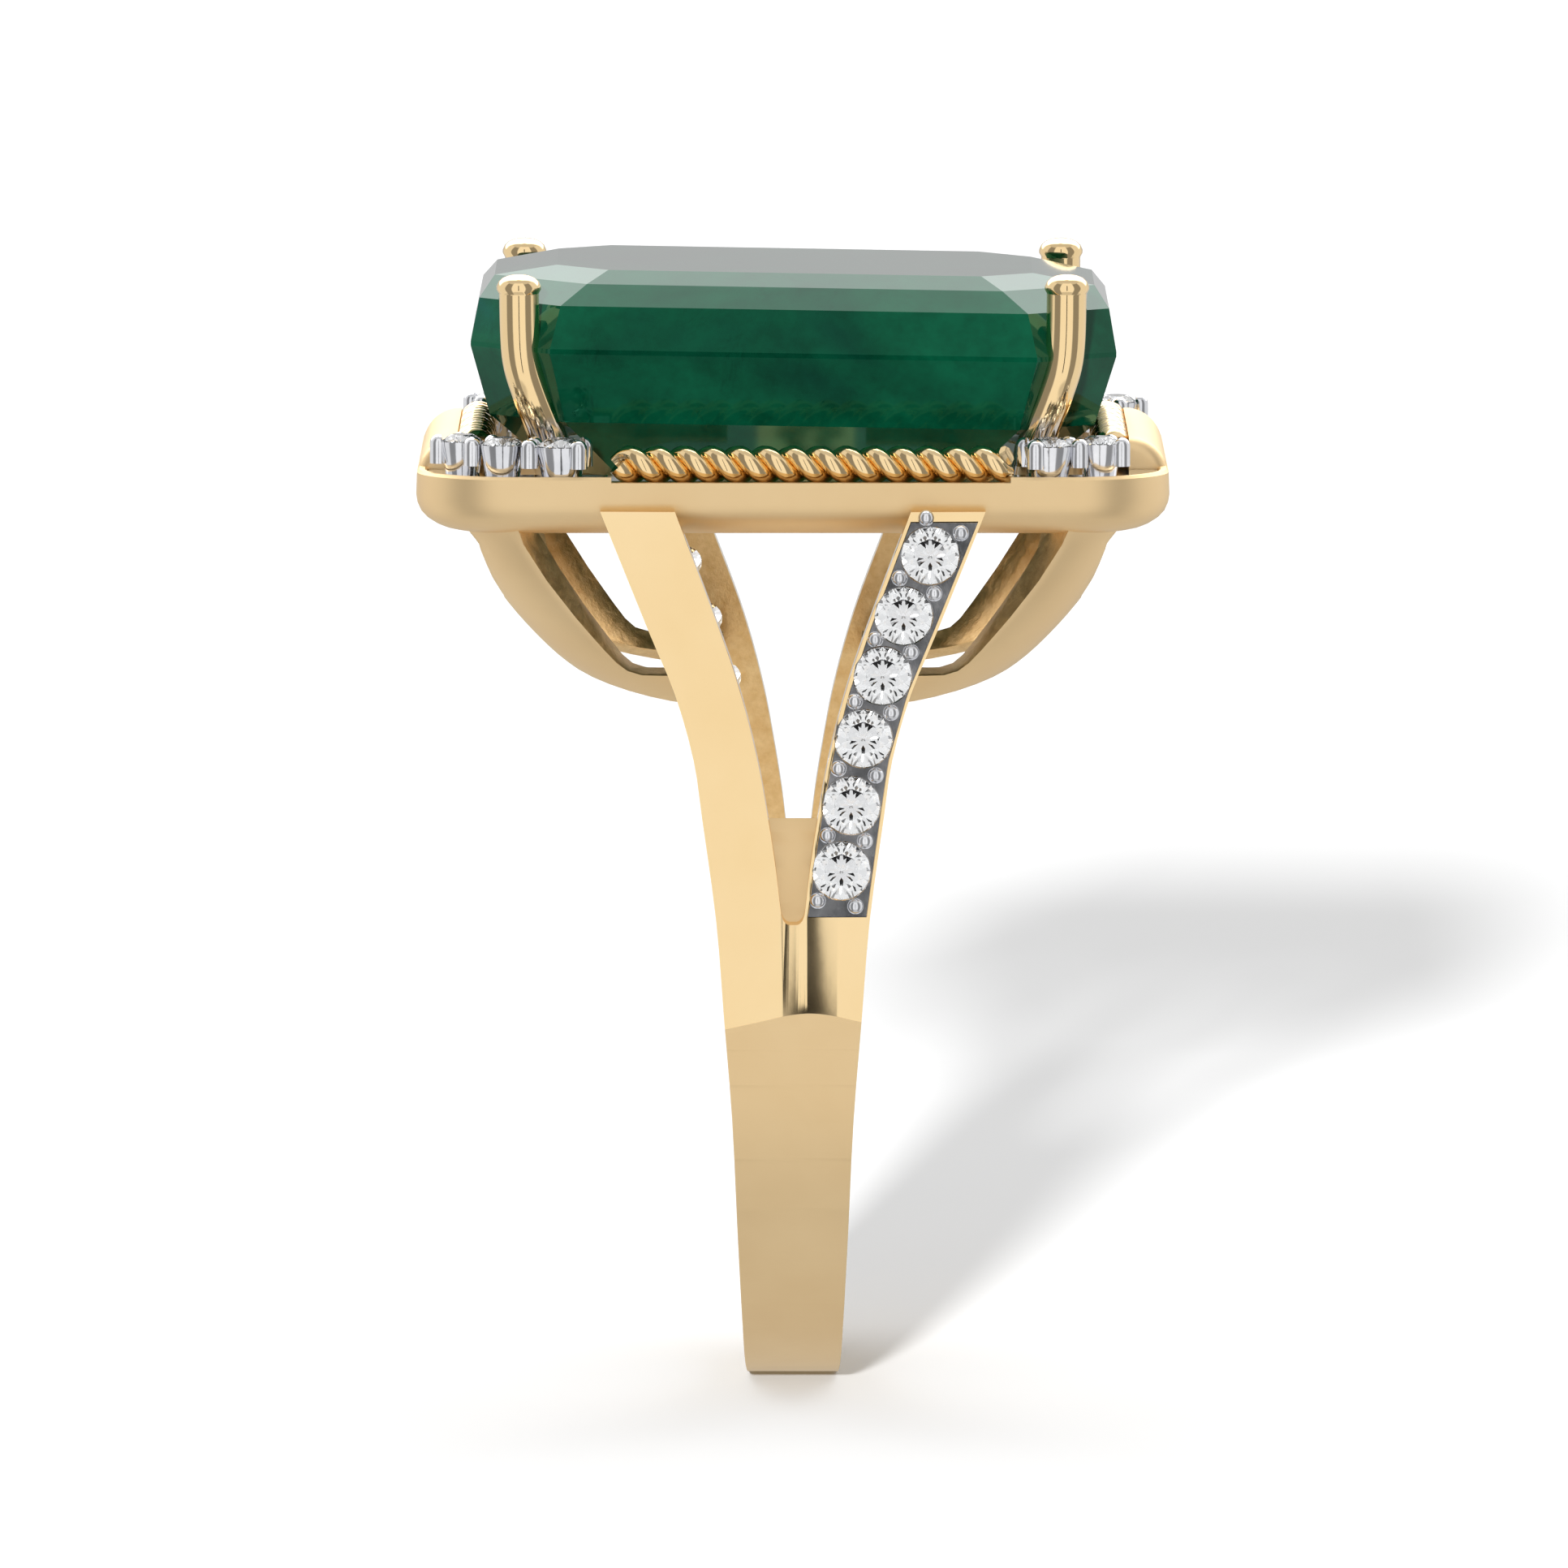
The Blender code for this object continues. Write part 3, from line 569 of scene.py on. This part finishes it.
def paint(item, material, chosen):
    """Gives the chosen faces, by centre and normal in millimetres, a second finish."""
    item.data.materials.append(material)
    index = len(item.data.materials) - 1
    place = item.matrix_basis
    for face in item.data.polygons:
        if chosen(place @ face.center / MM, place.to_3x3() @ face.normal):
            face.material_index = index


def shoulder_solid(name, radius, top, crease=None):
    return prism(name, shoulder_outline(radius, top, crease), "X", (-7, 7))


def shoulder_surface(height):
    """Distance from the XZ plane of the shoulder's outer face, and its outward unit normal (y, z)."""
    y1, z1 = SHOULDER_TOP_OUTER
    y0 = (BAND_RADIUS**2 - CREASE_HEIGHT**2) ** 0.5
    lean = atan2(y0 - y1, z1 - CREASE_HEIGHT)
    return y0 - (height - CREASE_HEIGHT) * tan(lean), (cos(lean), sin(lean))


def pave_seats(side):
    """Centre and outward normal of each shoulder stone: side is -1 in front and 1 at the back."""
    seats = []
    for x, height in PAVE_STONES:
        y, (ny, nz) = shoulder_surface(height)
        seats.append((Vector((-side * x, side * y, height)), Vector((0, side * ny, nz))))
    return seats


def split_cutters(side):
    """The through cut between the branches, and the groove that runs down over the web below it."""
    outline = [(x, z) for z, x in smooth_line(SPLIT_EDGE, 8)]
    through = [(x, z) for x, z in outline if z > WEB_TOP[side]]
    shift = BACK_SPLIT_SHIFT if side > 0 else 0.0

    def closed(half):
        return [(x + shift, z) for x, z in mirrored(half)]

    cutter = prism("split_cutter", closed(through), "Y", (side * 5.0, side * 13.0))
    groove = prism("groove_cutter", closed(outline), "Y", (side * 1.0, side * 13.0))
    boolean(groove, "DIFFERENCE", [cylinder("web_cutter", WEB_RADIUS, (-6, 0, 0), (6, 0, 0), 128)])
    return [cutter, groove]


def pave_strip(name, side, grow):
    """The skin of one branch, as deep as the pave bar, grown all round by the given clearance."""
    low, high = PAVE_HEIGHTS
    lip = PAVE_LIP - grow
    steps = 40
    heights = [low - grow + (high - low + 2 * grow) * k / steps for k in range(steps + 1)]
    outer = [(-side * (width_at(BAND_EDGE, z) - lip), z) for z in heights]
    inner = [(-side * (width_at(SPLIT_EDGE, z) + lip), z) for z in heights]
    strip = prism(name, outer + inner[::-1], "Y", (side * 4.0, side * 13.0))
    tan_lean = (CREASE_REACH - SHOULDER_TOP_OUTER[0]) / (SHOULDER_TOP_OUTER[1] - CREASE_HEIGHT)

    def top(shift):
        return (SHOULDER_TOP_OUTER[0] + shift - 1.5 * tan_lean, SHOULDER_TOP_OUTER[1] + 1.5)

    depth = PAVE_DEPTH + grow
    skin = shoulder_solid("skin", BAND_RADIUS + grow, top(grow), CREASE_HEIGHT)
    boolean(strip, "INTERSECT", [skin])
    core = shoulder_solid("core", BAND_RADIUS - depth, top(-depth), CREASE_HEIGHT)
    return boolean(strip, "DIFFERENCE", [core])


def roof_cutter(side):
    """Cuts the shoulder's outer face to a low roof whose rounded ridge runs up from the crease."""
    near = [RIDGE_X + 0.06 * k for k in range(-12, 13)]
    far = [RIDGE_X - ROOF_HALF, RIDGE_X - RIDGE_REACH, *near, RIDGE_X + RIDGE_REACH, RIDGE_X + ROOF_HALF]

    def fall(x):
        offset = min(abs(x - RIDGE_X), RIDGE_REACH)
        return RIDGE_SLOPE * (hypot(offset, RIDGE_WIDTH) - RIDGE_WIDTH)

    def ring(height):
        y, (ny, nz) = shoulder_surface(height)
        base = Vector((0, side * y, height))
        outward = Vector((0, side * ny, nz))
        roof = [base + Vector((-side * x, 0, 0)) - outward * fall(x) for x in far]
        ends = [base + Vector((-side * x, 0, 0)) + outward * 3 for x in (far[-1], far[0])]
        return roof + ends

    return mesh_object("roof_cutter", lambda shape: loft(shape, [ring(-6.0), ring(16.0)]))


def shank_edge_share(point):
    """Three quarters of the width on the inner edges of the plain branches, and half of it elsewhere."""
    side = -1 if point.y < 0 else 1
    if point.z < 1.7 or point.x * side < 0 or abs(point.y) < BORE_RADIUS * 0.8:
        return 0.5
    inner = abs(point.x) < width_at(SPLIT_EDGE, min(max(point.z, 2.25), 12.5)) + 0.2
    outer = abs(point.y) > shoulder_surface(point.z)[0] - 0.3
    return 0.75 if inner and outer and point.z > 2.8 else 0.5


def make_shank(polished, satin, cast):
    """Polished shoulders, a satin band and groove floor, and cast faces inside the branches."""
    shank = shoulder_solid("shank_body", BAND_RADIUS, SHOULDER_TOP_OUTER, CREASE_HEIGHT)
    band = prism("band_cutter", mirrored([(x, z) for z, x in smooth_line(BAND_EDGE, 3)]), "Y", (-12, 12))
    lean = (SHOULDER_TOP_INNER[0] - BRANCH_EXTRA, SHOULDER_TOP_INNER[1] + 2)
    bore = prism("bore_cutter", shoulder_outline(BORE_RADIUS, lean), "X", (-8, 8))
    boolean(shank, "INTERSECT", [band])
    shank.data.transform(shank.matrix_basis)
    shank.matrix_basis = Matrix()
    boolean(shank, "DIFFERENCE", [bore, roof_cutter(-1), roof_cutter(1)])
    for side in (-1, 1):
        boolean(shank, "DIFFERENCE", split_cutters(side))
    soften(shank, SHANK_EDGE, share=shank_edge_share)
    for side in (-1, 1):
        boolean(shank, "DIFFERENCE", [pave_strip("channel_cutter", side, PAVE_CLEARANCE)])
        holes = [
            cylinder("azure_cutter", AZURE_RADIUS, centre, centre - normal * 3, 24)
            for centre, normal in pave_seats(side)
        ]
        boolean(shank, "DIFFERENCE", holes)
    dress(shank, polished, ["shank"])

    def below_crease(centre, normal):
        return centre.z < 0.02 and hypot(centre.y, centre.z) > BAND_RADIUS - 0.12 and abs(normal.x) < 0.97

    def groove_floor(centre, normal):
        return centre.z > 1.5 and abs(hypot(centre.y, centre.z) - WEB_RADIUS) < 0.05

    def inside_branch(centre, normal):
        return centre.z > 3 and centre.y * normal.y + centre.z * normal.z < -4

    paint(shank, satin, below_crease)
    paint(shank, cast, inside_branch)
    paint(shank, satin, groove_floor)


def seat_cutter(name, radius, centre, normal, hole_radius, depth, sides=40):
    profile = [
        (radius + 0.02, 2.0), (radius + 0.02, -0.07 * radius),
        (hole_radius, -0.8 * radius), (hole_radius, -depth),
    ]
    return point_along(turned_solid(name, profile, sides), centre, normal)


def brilliant(name, radius, centre, normal, material, replaced):
    """A round brilliant with star, kite and girdle facets, from its corner points."""
    crown = tan(radians(34.5))
    pavilion = tan(radians(40.8))
    points = [(0.0, 0.0, -pavilion)]
    for k in range(8):
        main = 2 * pi * k / 8
        half = main + pi / 8
        points.append((0.56 * cos(main), 0.56 * sin(main), 0.44 * crown))
        points.append((0.78 * cos(half), 0.78 * sin(half), (1 - 0.78 * cos(pi / 8)) * crown))
        points.append((0.22 * cos(half), 0.22 * sin(half), -(1 - 0.22 * cos(pi / 8)) * pavilion))
        for angle in (main, half):
            points.append((cos(angle), sin(angle), 0.0))
            points.append((cos(angle), sin(angle), -0.05))

    def build(shape):
        for point in points:
            shape.verts.new(Vector(point) * radius)
        bmesh.ops.convex_hull(shape, input=shape.verts)
        bmesh.ops.dissolve_limit(shape, angle_limit=radians(1.0), verts=shape.verts, edges=shape.edges)

    gem = point_along(mesh_object(name, build), centre, normal)
    dress(gem, material, [replaced], flat=True)


def make_pave_shoulder(place, side, rhodium_metal, clear):
    seats = pave_seats(side)
    bar = pave_strip(f"pave_bar_{place}_body", side, 0.0)
    steps = [b[0] - a[0] for a, b in zip(seats, seats[1:])]
    steps.append(steps[-1])
    beads = []
    for i, ((centre, normal), step) in enumerate(zip(seats, steps)):
        across = step.cross(normal).normalized()
        middles = [centre + step / 2] if i else [centre - step / 2, centre + step / 2]
        for middle in middles:
            for hand in (-1, 1):
                beads.append(ball("bead", PAVE_BEAD, middle + across * hand * BEAD_OFFSET))
    boolean(bar, "UNION", beads)
    boolean(bar, "DIFFERENCE", [
        seat_cutter("seat", PAVE_STONE_RADIUS, centre, normal, AZURE_RADIUS, 2.0) for centre, normal in seats
    ])
    dress(bar, rhodium_metal, [f"pave_bar_{place}"])
    for i, (centre, normal) in enumerate(seats):
        node = f"shoulder_stone_{place}_{i + 1}"
        brilliant(node + "_cut", PAVE_STONE_RADIUS, centre, normal, clear, node)


def window_cutter(name, outline, axis, side, depth):
    """A window through the wall on one side, narrower inside than outside by the draft."""
    inner = [(a - WINDOW_DRAFT, z + WINDOW_DRAFT) for a, z in outline]

    def ring(points, distance):
        flat = mirrored(points)
        if axis == "Y":
            return [(a, side * distance, z) for a, z in flat]
        return [(side * distance, a, z) for a, z in flat]

    def draft(points, far):
        return [(a + WINDOW_DRAFT * far, z - WINDOW_DRAFT * far * (z < 12)) for a, z in points]

    rings = [
        ring(draft(inner, -1.0), depth - 3.0), ring(inner, depth - 1.0), ring(outline, depth),
        ring(draft(outline, 1.5), depth + 2.0),
    ]
    return mesh_object(name, lambda shape: loft(shape, rings))


def make_gallery(satin, cast):
    """The open gallery: an end frame left and right, each two corner struts on a rail with two feet."""

    def body(inset, stretch):
        def build(shape):
            corner = BASKET_CORNER - inset * 0.6
            loft(shape, [
                rounded_rectangle(x - inset, y - inset, corner, z + stretch * (z - 9.4), 8)
                for z, x, y in smooth_line(BASKET_SECTIONS[::-1], 3)
            ])

        return build

    def inward(centre, normal):
        """Whether a face turns away from the outward normal of an ellipse with 8 and 6 mm half-axes."""
        out = Vector((centre.x / 8**2, centre.y / 6**2, 0)).normalized()
        return out.dot(normal) < 0.3

    for sign, place in ((-1, "left"), (1, "right")):
        frame = mesh_object(f"gallery_{place}_body", body(0.0, 0.0))
        boolean(frame, "DIFFERENCE", [mesh_object("gallery_hollow", body(BASKET_WALL, 0.25))])
        (x0, x1), (y0, y1), z_span = FOOT
        x_span = sorted((sign * x0, sign * x1))
        feet = [box("foot", x_span, sorted((hand * y0, hand * y1)), z_span) for hand in (-1, 1)]
        boolean(frame, "UNION", feet)
        foot_end = (SHOULDER_TOP_INNER[0] - 0.2, SHOULDER_TOP_INNER[1] + 2)
        inside = shoulder_solid("foot_room", BORE_RADIUS + 0.1, foot_end)
        keep = boolean(inside, "UNION", [box("keep_top", (-12, 12), (-9, 9), (8.2, 14))])
        boolean(frame, "INTERSECT", [keep])
        boolean(frame, "DIFFERENCE", [
            box("other_half", sorted((-sign * 12, sign * RAIL_END)), (-10, 10), (5, 14)),
            cylinder("gallery_bore", BORE_RADIUS, (-12, 0, 0), (12, 0, 0), 192),
            window_cutter("long_window", LONG_WINDOW, "Y", -1, 6.1),
            window_cutter("long_window", LONG_WINDOW, "Y", 1, 6.1),
            window_cutter("short_window", SHORT_WINDOW, "X", sign, 7.6),
        ])
        soften(frame, 0.09, 2)
        dress(frame, satin, [f"gallery_{place}"])
        paint(frame, cast, inward)


def box(name, x_span, y_span, z_span):
    (x0, x1), (z0, z1) = x_span, z_span
    return prism(name, [(x0, z0), (x1, z0), (x1, z1), (x0, z1)], "Y", y_span)


def make_rim(gold):
    """The halo's rim, with gaps in its lip for the long ropes and a bolster along each short end."""
    rim = rim_ring("halo_rim_body", RIM_SECTION)
    for turn in (-1, 1):
        gap = sorted(-turn * x for x in LIP_GAP)
        depth = sorted((turn * 6.5, turn * 8))
        boolean(rim, "DIFFERENCE", [box("lip_gap", gap, depth, (LIP_GAP_HEIGHT, 14))])
    for sign in (-1, 1):
        x = sign * (RIM_HALF_LENGTH - BOLSTER_RADIUS - 0.02)
        ends = [(x, y, BOLSTER_HEIGHT) for y in (-BOLSTER_HALF, BOLSTER_HALF)]
        bolster = cylinder("bolster", BOLSTER_RADIUS, *ends)
        soften(bolster, 0.35, 5)
        inner = sorted((sign * (RIM_HALF_LENGTH - 2.6), sign * (RIM_HALF_LENGTH - 1.0)))
        outer = sorted((sign * 6, sign * 12))
        boolean(bolster, "DIFFERENCE", [
            box("bolster_trim", inner, (-8, 8), (11, 15)), box("bolster_under", outer, (-8, 8), (10, 12.5)),
        ])
        boolean(rim, "UNION", [bolster])
    dress(rim, gold, ["halo_rim"])


def rope(name, start, end, material, node):
    """Two round wires twisted together."""
    a, b = Vector(start), Vector(end)
    along = (b - a).normalized()
    up = Vector((0, 0, 1))
    side = along.cross(up)
    turns = (b - a).length / ROPE_PITCH
    steps = round(turns * 18)
    lines = []
    for phase in (0.0, pi):
        line = []
        for k in range(steps + 1):
            angle = phase - 2 * pi * turns * k / steps
            line.append(a.lerp(b, k / steps) + (side * cos(angle) + up * sin(angle)) * STRAND_ORBIT)
        lines.append(line)
    wires = poly_curve(name, lines)
    wires.data.bevel_depth = STRAND_RADIUS * MM
    wires.data.bevel_resolution = 3
    wires.data.use_fill_caps = True
    dress(solid_from_curve(wires), material, [node], 60)


def make_ropes(gold):
    low, high = LONG_ROPE_SPAN
    y = RIM_HALF_WIDTH - LONG_ROPE_INSET
    x = RIM_HALF_LENGTH - SHORT_ROPE_INSET
    half = SHORT_ROPE_HALF
    h = LONG_ROPE_HEIGHT
    top = SHORT_ROPE_HEIGHT
    rope("rope_front_wires", (low, -y, h), (high, -y, h), gold, "rope_front")
    rope("rope_back_wires", (-low, y, h), (-high, y, h), gold, "rope_back")
    rope("rope_left_wires", (-x, half, top), (-x, -half, top), gold, "rope_left")
    rope("rope_right_wires", (x, -half, top), (x, half, top), gold, "rope_right")


def post(x, y):
    """A round prong with a domed end."""
    dome = [(CORNER_BEAD * cos(a), CORNER_BEAD * sin(a)) for a in (1.4, 1.1, 0.8, 0.5, 0.25, 0.0)]
    pin = turned_solid("post", [*dome, (CORNER_BEAD, -0.5)], 20)
    pin.location = Vector((x, y, CORNER_STONE_TOP - CORNER_BEAD)) * MM
    return pin


def make_corner(place, stones, rhodium_metal, clear):
    """One corner plate with its prongs and cups, and the stones that sit in it."""
    low, high = PLATE_HEIGHT
    outer, inner = PLATE_DEPTH
    section = [(outer, low), (inner, low), (inner, high), (outer, high)]
    plate = rim_ring(f"corner_plate_{place}_body", section)
    sx = -1 if stones[0][0] < 0 else 1
    sy = -1 if stones[0][1] < 0 else 1
    near_x = 4.6 if len(stones) == 3 else 5.5
    keep = prism(
        "corner_keep", [(sx * near_x, 12), (sx * 10, 12), (sx * 10, 14), (sx * near_x, 14)],
        "Y", (sy * (BOLSTER_HALF + 0.1), sy * 8),
    )
    boolean(plate, "INTERSECT", [keep])
    seats = [(Vector((x, y, CORNER_STONE_TOP - 0.3 * radius)), Vector((0, 0, 1))) for x, y, radius in stones]
    spots = [seat[0] for seat in seats]
    posts = []
    for a, b in zip(spots, spots[1:]):
        across = (b - a).cross(Vector((0, 0, 1))).normalized()
        for hand in (-1, 1):
            spot = (a + b) / 2 + across * hand * 0.38
            posts.append(post(spot.x, spot.y))
    for spot, toward, radius in ((spots[0], spots[1], stones[0][2]), (spots[-1], spots[-2], stones[-1][2])):
        away = (spot - toward).normalized() * (radius + 0.1)
        across = away.cross(Vector((0, 0, 1))).normalized()
        for hand in (-1, 1):
            point = spot + away * 0.72 + across * hand * 0.4
            posts.append(post(point.x, point.y))
    for (_, _, radius), spot in zip(stones, spots):
        wall = radius * 1.06
        cup = turned_solid("cup", [(wall, spot.z - 0.02), (wall, spot.z - 0.1), (radius * 0.8, 12.86)], 32)
        cup.location = Vector((spot.x, spot.y, 0)) * MM
        posts.append(cup)
    boolean(plate, "UNION", posts)
    boolean(plate, "DIFFERENCE", [
        seat_cutter("seat", radius, centre, normal, 0.4 * radius, 1.2)
        for (_, _, radius), (centre, normal) in zip(stones, seats)
    ])
    dress(plate, rhodium_metal, [f"corner_plate_{place}"])
    for i, ((x, y, radius), (centre, normal)) in enumerate(zip(stones, seats)):
        node = f"corner_stone_{place}_{i + 1}"
        brilliant(node + "_cut", radius, centre, normal, clear, node)


def make_corners(rhodium_metal, clear):
    for place, stones, turn in (
        ("front_left", LONG_CORNER_STONES, 1), ("front_right", SHORT_CORNER_STONES, 1),
        ("back_right", LONG_CORNER_STONES, -1), ("back_left", SHORT_CORNER_STONES, -1),
    ):
        make_corner(place, [(turn * x, turn * y, radius) for x, y, radius in stones], rhodium_metal, clear)


def make_centre_stone(material):
    """A step cut with cut corners, one facet row between each pair of levels."""

    def build(shape):
        rings = []
        for z, hx, hy, cut in STONE_LEVELS[::-1]:
            sx, sy = hx - cut, hy - cut
            far_side = [(hx, sy), (sx, hy), (-sx, hy), (-hx, sy)]
            corners = far_side + [(-x, -y) for x, y in far_side]
            rings.append([(x, y, z) for x, y in corners])
        loft(shape, rings)

    stone = mesh_object("centre_stone_cut", build)
    stone.rotation_euler.y = radians(STONE_TILT)
    stone.location.x = -15.0 * MM * sin(radians(STONE_TILT))
    dress(stone, material, ["centre_stone"], flat=True)


def make_claws(gold):
    """Four bent wires, each with a button end over the edge of the stone."""
    corners = ((-1, -1, "front_left"), (1, -1, "front_right"), (-1, 1, "back_left"), (1, 1, "back_right"))
    for sx, sy, place in corners:
        path = smooth_line([(sx * x, sy * y, z) for x, y, z in CLAW_PATH], 8)
        wire = poly_curve(f"claw_{place}_wire", [path])
        wire.data.bevel_depth = CLAW_RADIUS * MM
        wire.data.bevel_resolution = 6
        wire.data.use_fill_caps = True
        claw = solid_from_curve(wire)
        cap = turned_solid("claw_cap", CLAW_CAP[::-1], 32)
        cap.location = Vector((path[-1][0], path[-1][1], 0)) * MM
        boolean(claw, "UNION", [cap])
        dress(claw, gold, [f"claw_{place}"], 50)


# ---------------------------------------------------------------- stage


def make_stage(paper):
    """A plain floor that runs on behind the ring."""

    def build(shape):
        corners = ((-1, -1), (1, -1), (1, 1), (-1, 1))
        points = [(x * FLOOR_HALF, y * FLOOR_HALF, FLOOR_HEIGHT) for x, y in corners]
        shape.faces.new([shape.verts.new(point) for point in points])

    stage = mesh_object("stage_floor", build)
    stage.data.materials.append(paper)
    stage.visible_glossy = False


class Room:
    """A world of soft panels, each given by its ranges of azimuth and elevation in degrees."""

    def __init__(self, level):
        world = bpy.data.worlds.new("soft_room")
        bpy.context.scene.world = world
        world.use_nodes = True
        self.tree = world.node_tree
        self.background = self.tree.nodes["Background"]
        self.background.inputs["Color"].default_value = (1.0, 1.0, 1.0, 1.0)
        direction = self.tree.nodes.new("ShaderNodeTexCoord").outputs["Generated"]
        axes = self.tree.nodes.new("ShaderNodeSeparateXYZ")
        self.tree.links.new(direction, axes.inputs[0])
        ahead = self.math("MULTIPLY", axes.outputs[1], -1.0)
        self.azimuth = self.math("ARCTAN2", axes.outputs[0], ahead)
        self.elevation = self.math("ARCSINE", axes.outputs[2])
        self.level = level

    def math(self, operation, a, b=0.0, c=0.0):
        node = self.tree.nodes.new("ShaderNodeMath")
        node.operation = operation
        for socket, value in zip(node.inputs, (a, b, c)):
            if isinstance(value, (int, float)):
                socket.default_value = value
            else:
                self.tree.links.new(value, socket)
        return node.outputs[0]

    def inside(self, value, low, high, soft):
        rise = self.tree.nodes.new("ShaderNodeMapRange")
        fall = self.tree.nodes.new("ShaderNodeMapRange")
        for node, edge, first, last in ((rise, low, 0.0, 1.0), (fall, high, 1.0, 0.0)):
            node.interpolation_type = "SMOOTHSTEP"
            node.inputs["From Min"].default_value = radians(edge - soft)
            node.inputs["From Max"].default_value = radians(edge + soft)
            node.inputs["To Min"].default_value = first
            node.inputs["To Max"].default_value = last
            self.tree.links.new(value, node.inputs["Value"])
        return self.math("MULTIPLY", rise.outputs[0], fall.outputs[0])

    def panel(self, azimuths, elevations, level, soft=1.0):
        """Lays a panel of the given level over what is there already."""
        across = self.inside(self.azimuth, *azimuths, soft)
        mask = self.math("MULTIPLY", across, self.inside(self.elevation, *elevations, soft))
        change = self.math("SUBTRACT", level, self.level)
        self.level = self.math("MULTIPLY_ADD", change, mask, self.level)

    def finish(self):
        self.tree.links.new(self.level, self.background.inputs["Strength"])


def make_light():
    """A bright front panel, darker flanks, a bright upper back, a thin dark strip and one sun."""
    room = Room(ROOM_LEVEL)
    room.panel((-36, 36), (-40, 62), 1.0, 2.0)
    for hand in (-1, 1):
        room.panel(sorted((hand * 38, hand * 80)), (-60, 50), 0.3, 3.0)
        room.panel(sorted((hand * 75, hand * 140)), (-40, 50), 0.85, 3.0)
        room.panel(sorted((hand * 120, hand * 185)), (15, 80), 2.8, 4.0)
    room.panel((-2.2, 2.2), (-30, 40), 0.02, 0.5)
    room.finish()
    sun = bpy.data.lights.new("key_light", "SUN")
    sun.energy = SUN_POWER
    sun.angle = radians(SUN_ANGLE)
    item = link("key_light", sun)
    lift, swing = radians(SUN_ELEVATION), radians(SUN_AZIMUTH)
    point_along(item, (0, 0, 0), (cos(lift) * sin(swing), -cos(lift) * cos(swing), sin(lift)))
    item.visible_glossy = False


def make_camera():
    lens = bpy.data.cameras.new("photo_camera")
    lens.sensor_width = 36.0
    lens.lens = 36.0 * CAMERA_DISTANCE / FIELD_WIDTH
    lens.clip_start = 0.01
    lens.clip_end = 10.0
    camera = link("photo_camera", lens)
    lift = radians(CAMERA_ELEVATION)
    away = Vector((0, -cos(lift), sin(lift)))
    point_along(camera, Vector(AIM) + away * CAMERA_DISTANCE, away)
    bpy.context.scene.camera = camera


def main():
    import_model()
    gold = polished_gold()
    satin = satin_gold()
    white_metal = rhodium()
    clear = clear_stone()
    cast = cast_gold()
    make_shank(gold, satin, cast)
    make_pave_shoulder("front", -1, white_metal, clear)
    make_pave_shoulder("back", 1, white_metal, clear)
    make_gallery(satin, cast)
    make_rim(satin)
    make_ropes(gold)
    make_corners(white_metal, clear)
    make_centre_stone(green_stone())
    make_claws(claw_gold())
    make_stage(stage_paper())
    make_light()
    make_camera()
    bpy.context.scene.view_settings.view_transform = "Standard"
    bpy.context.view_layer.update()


main()
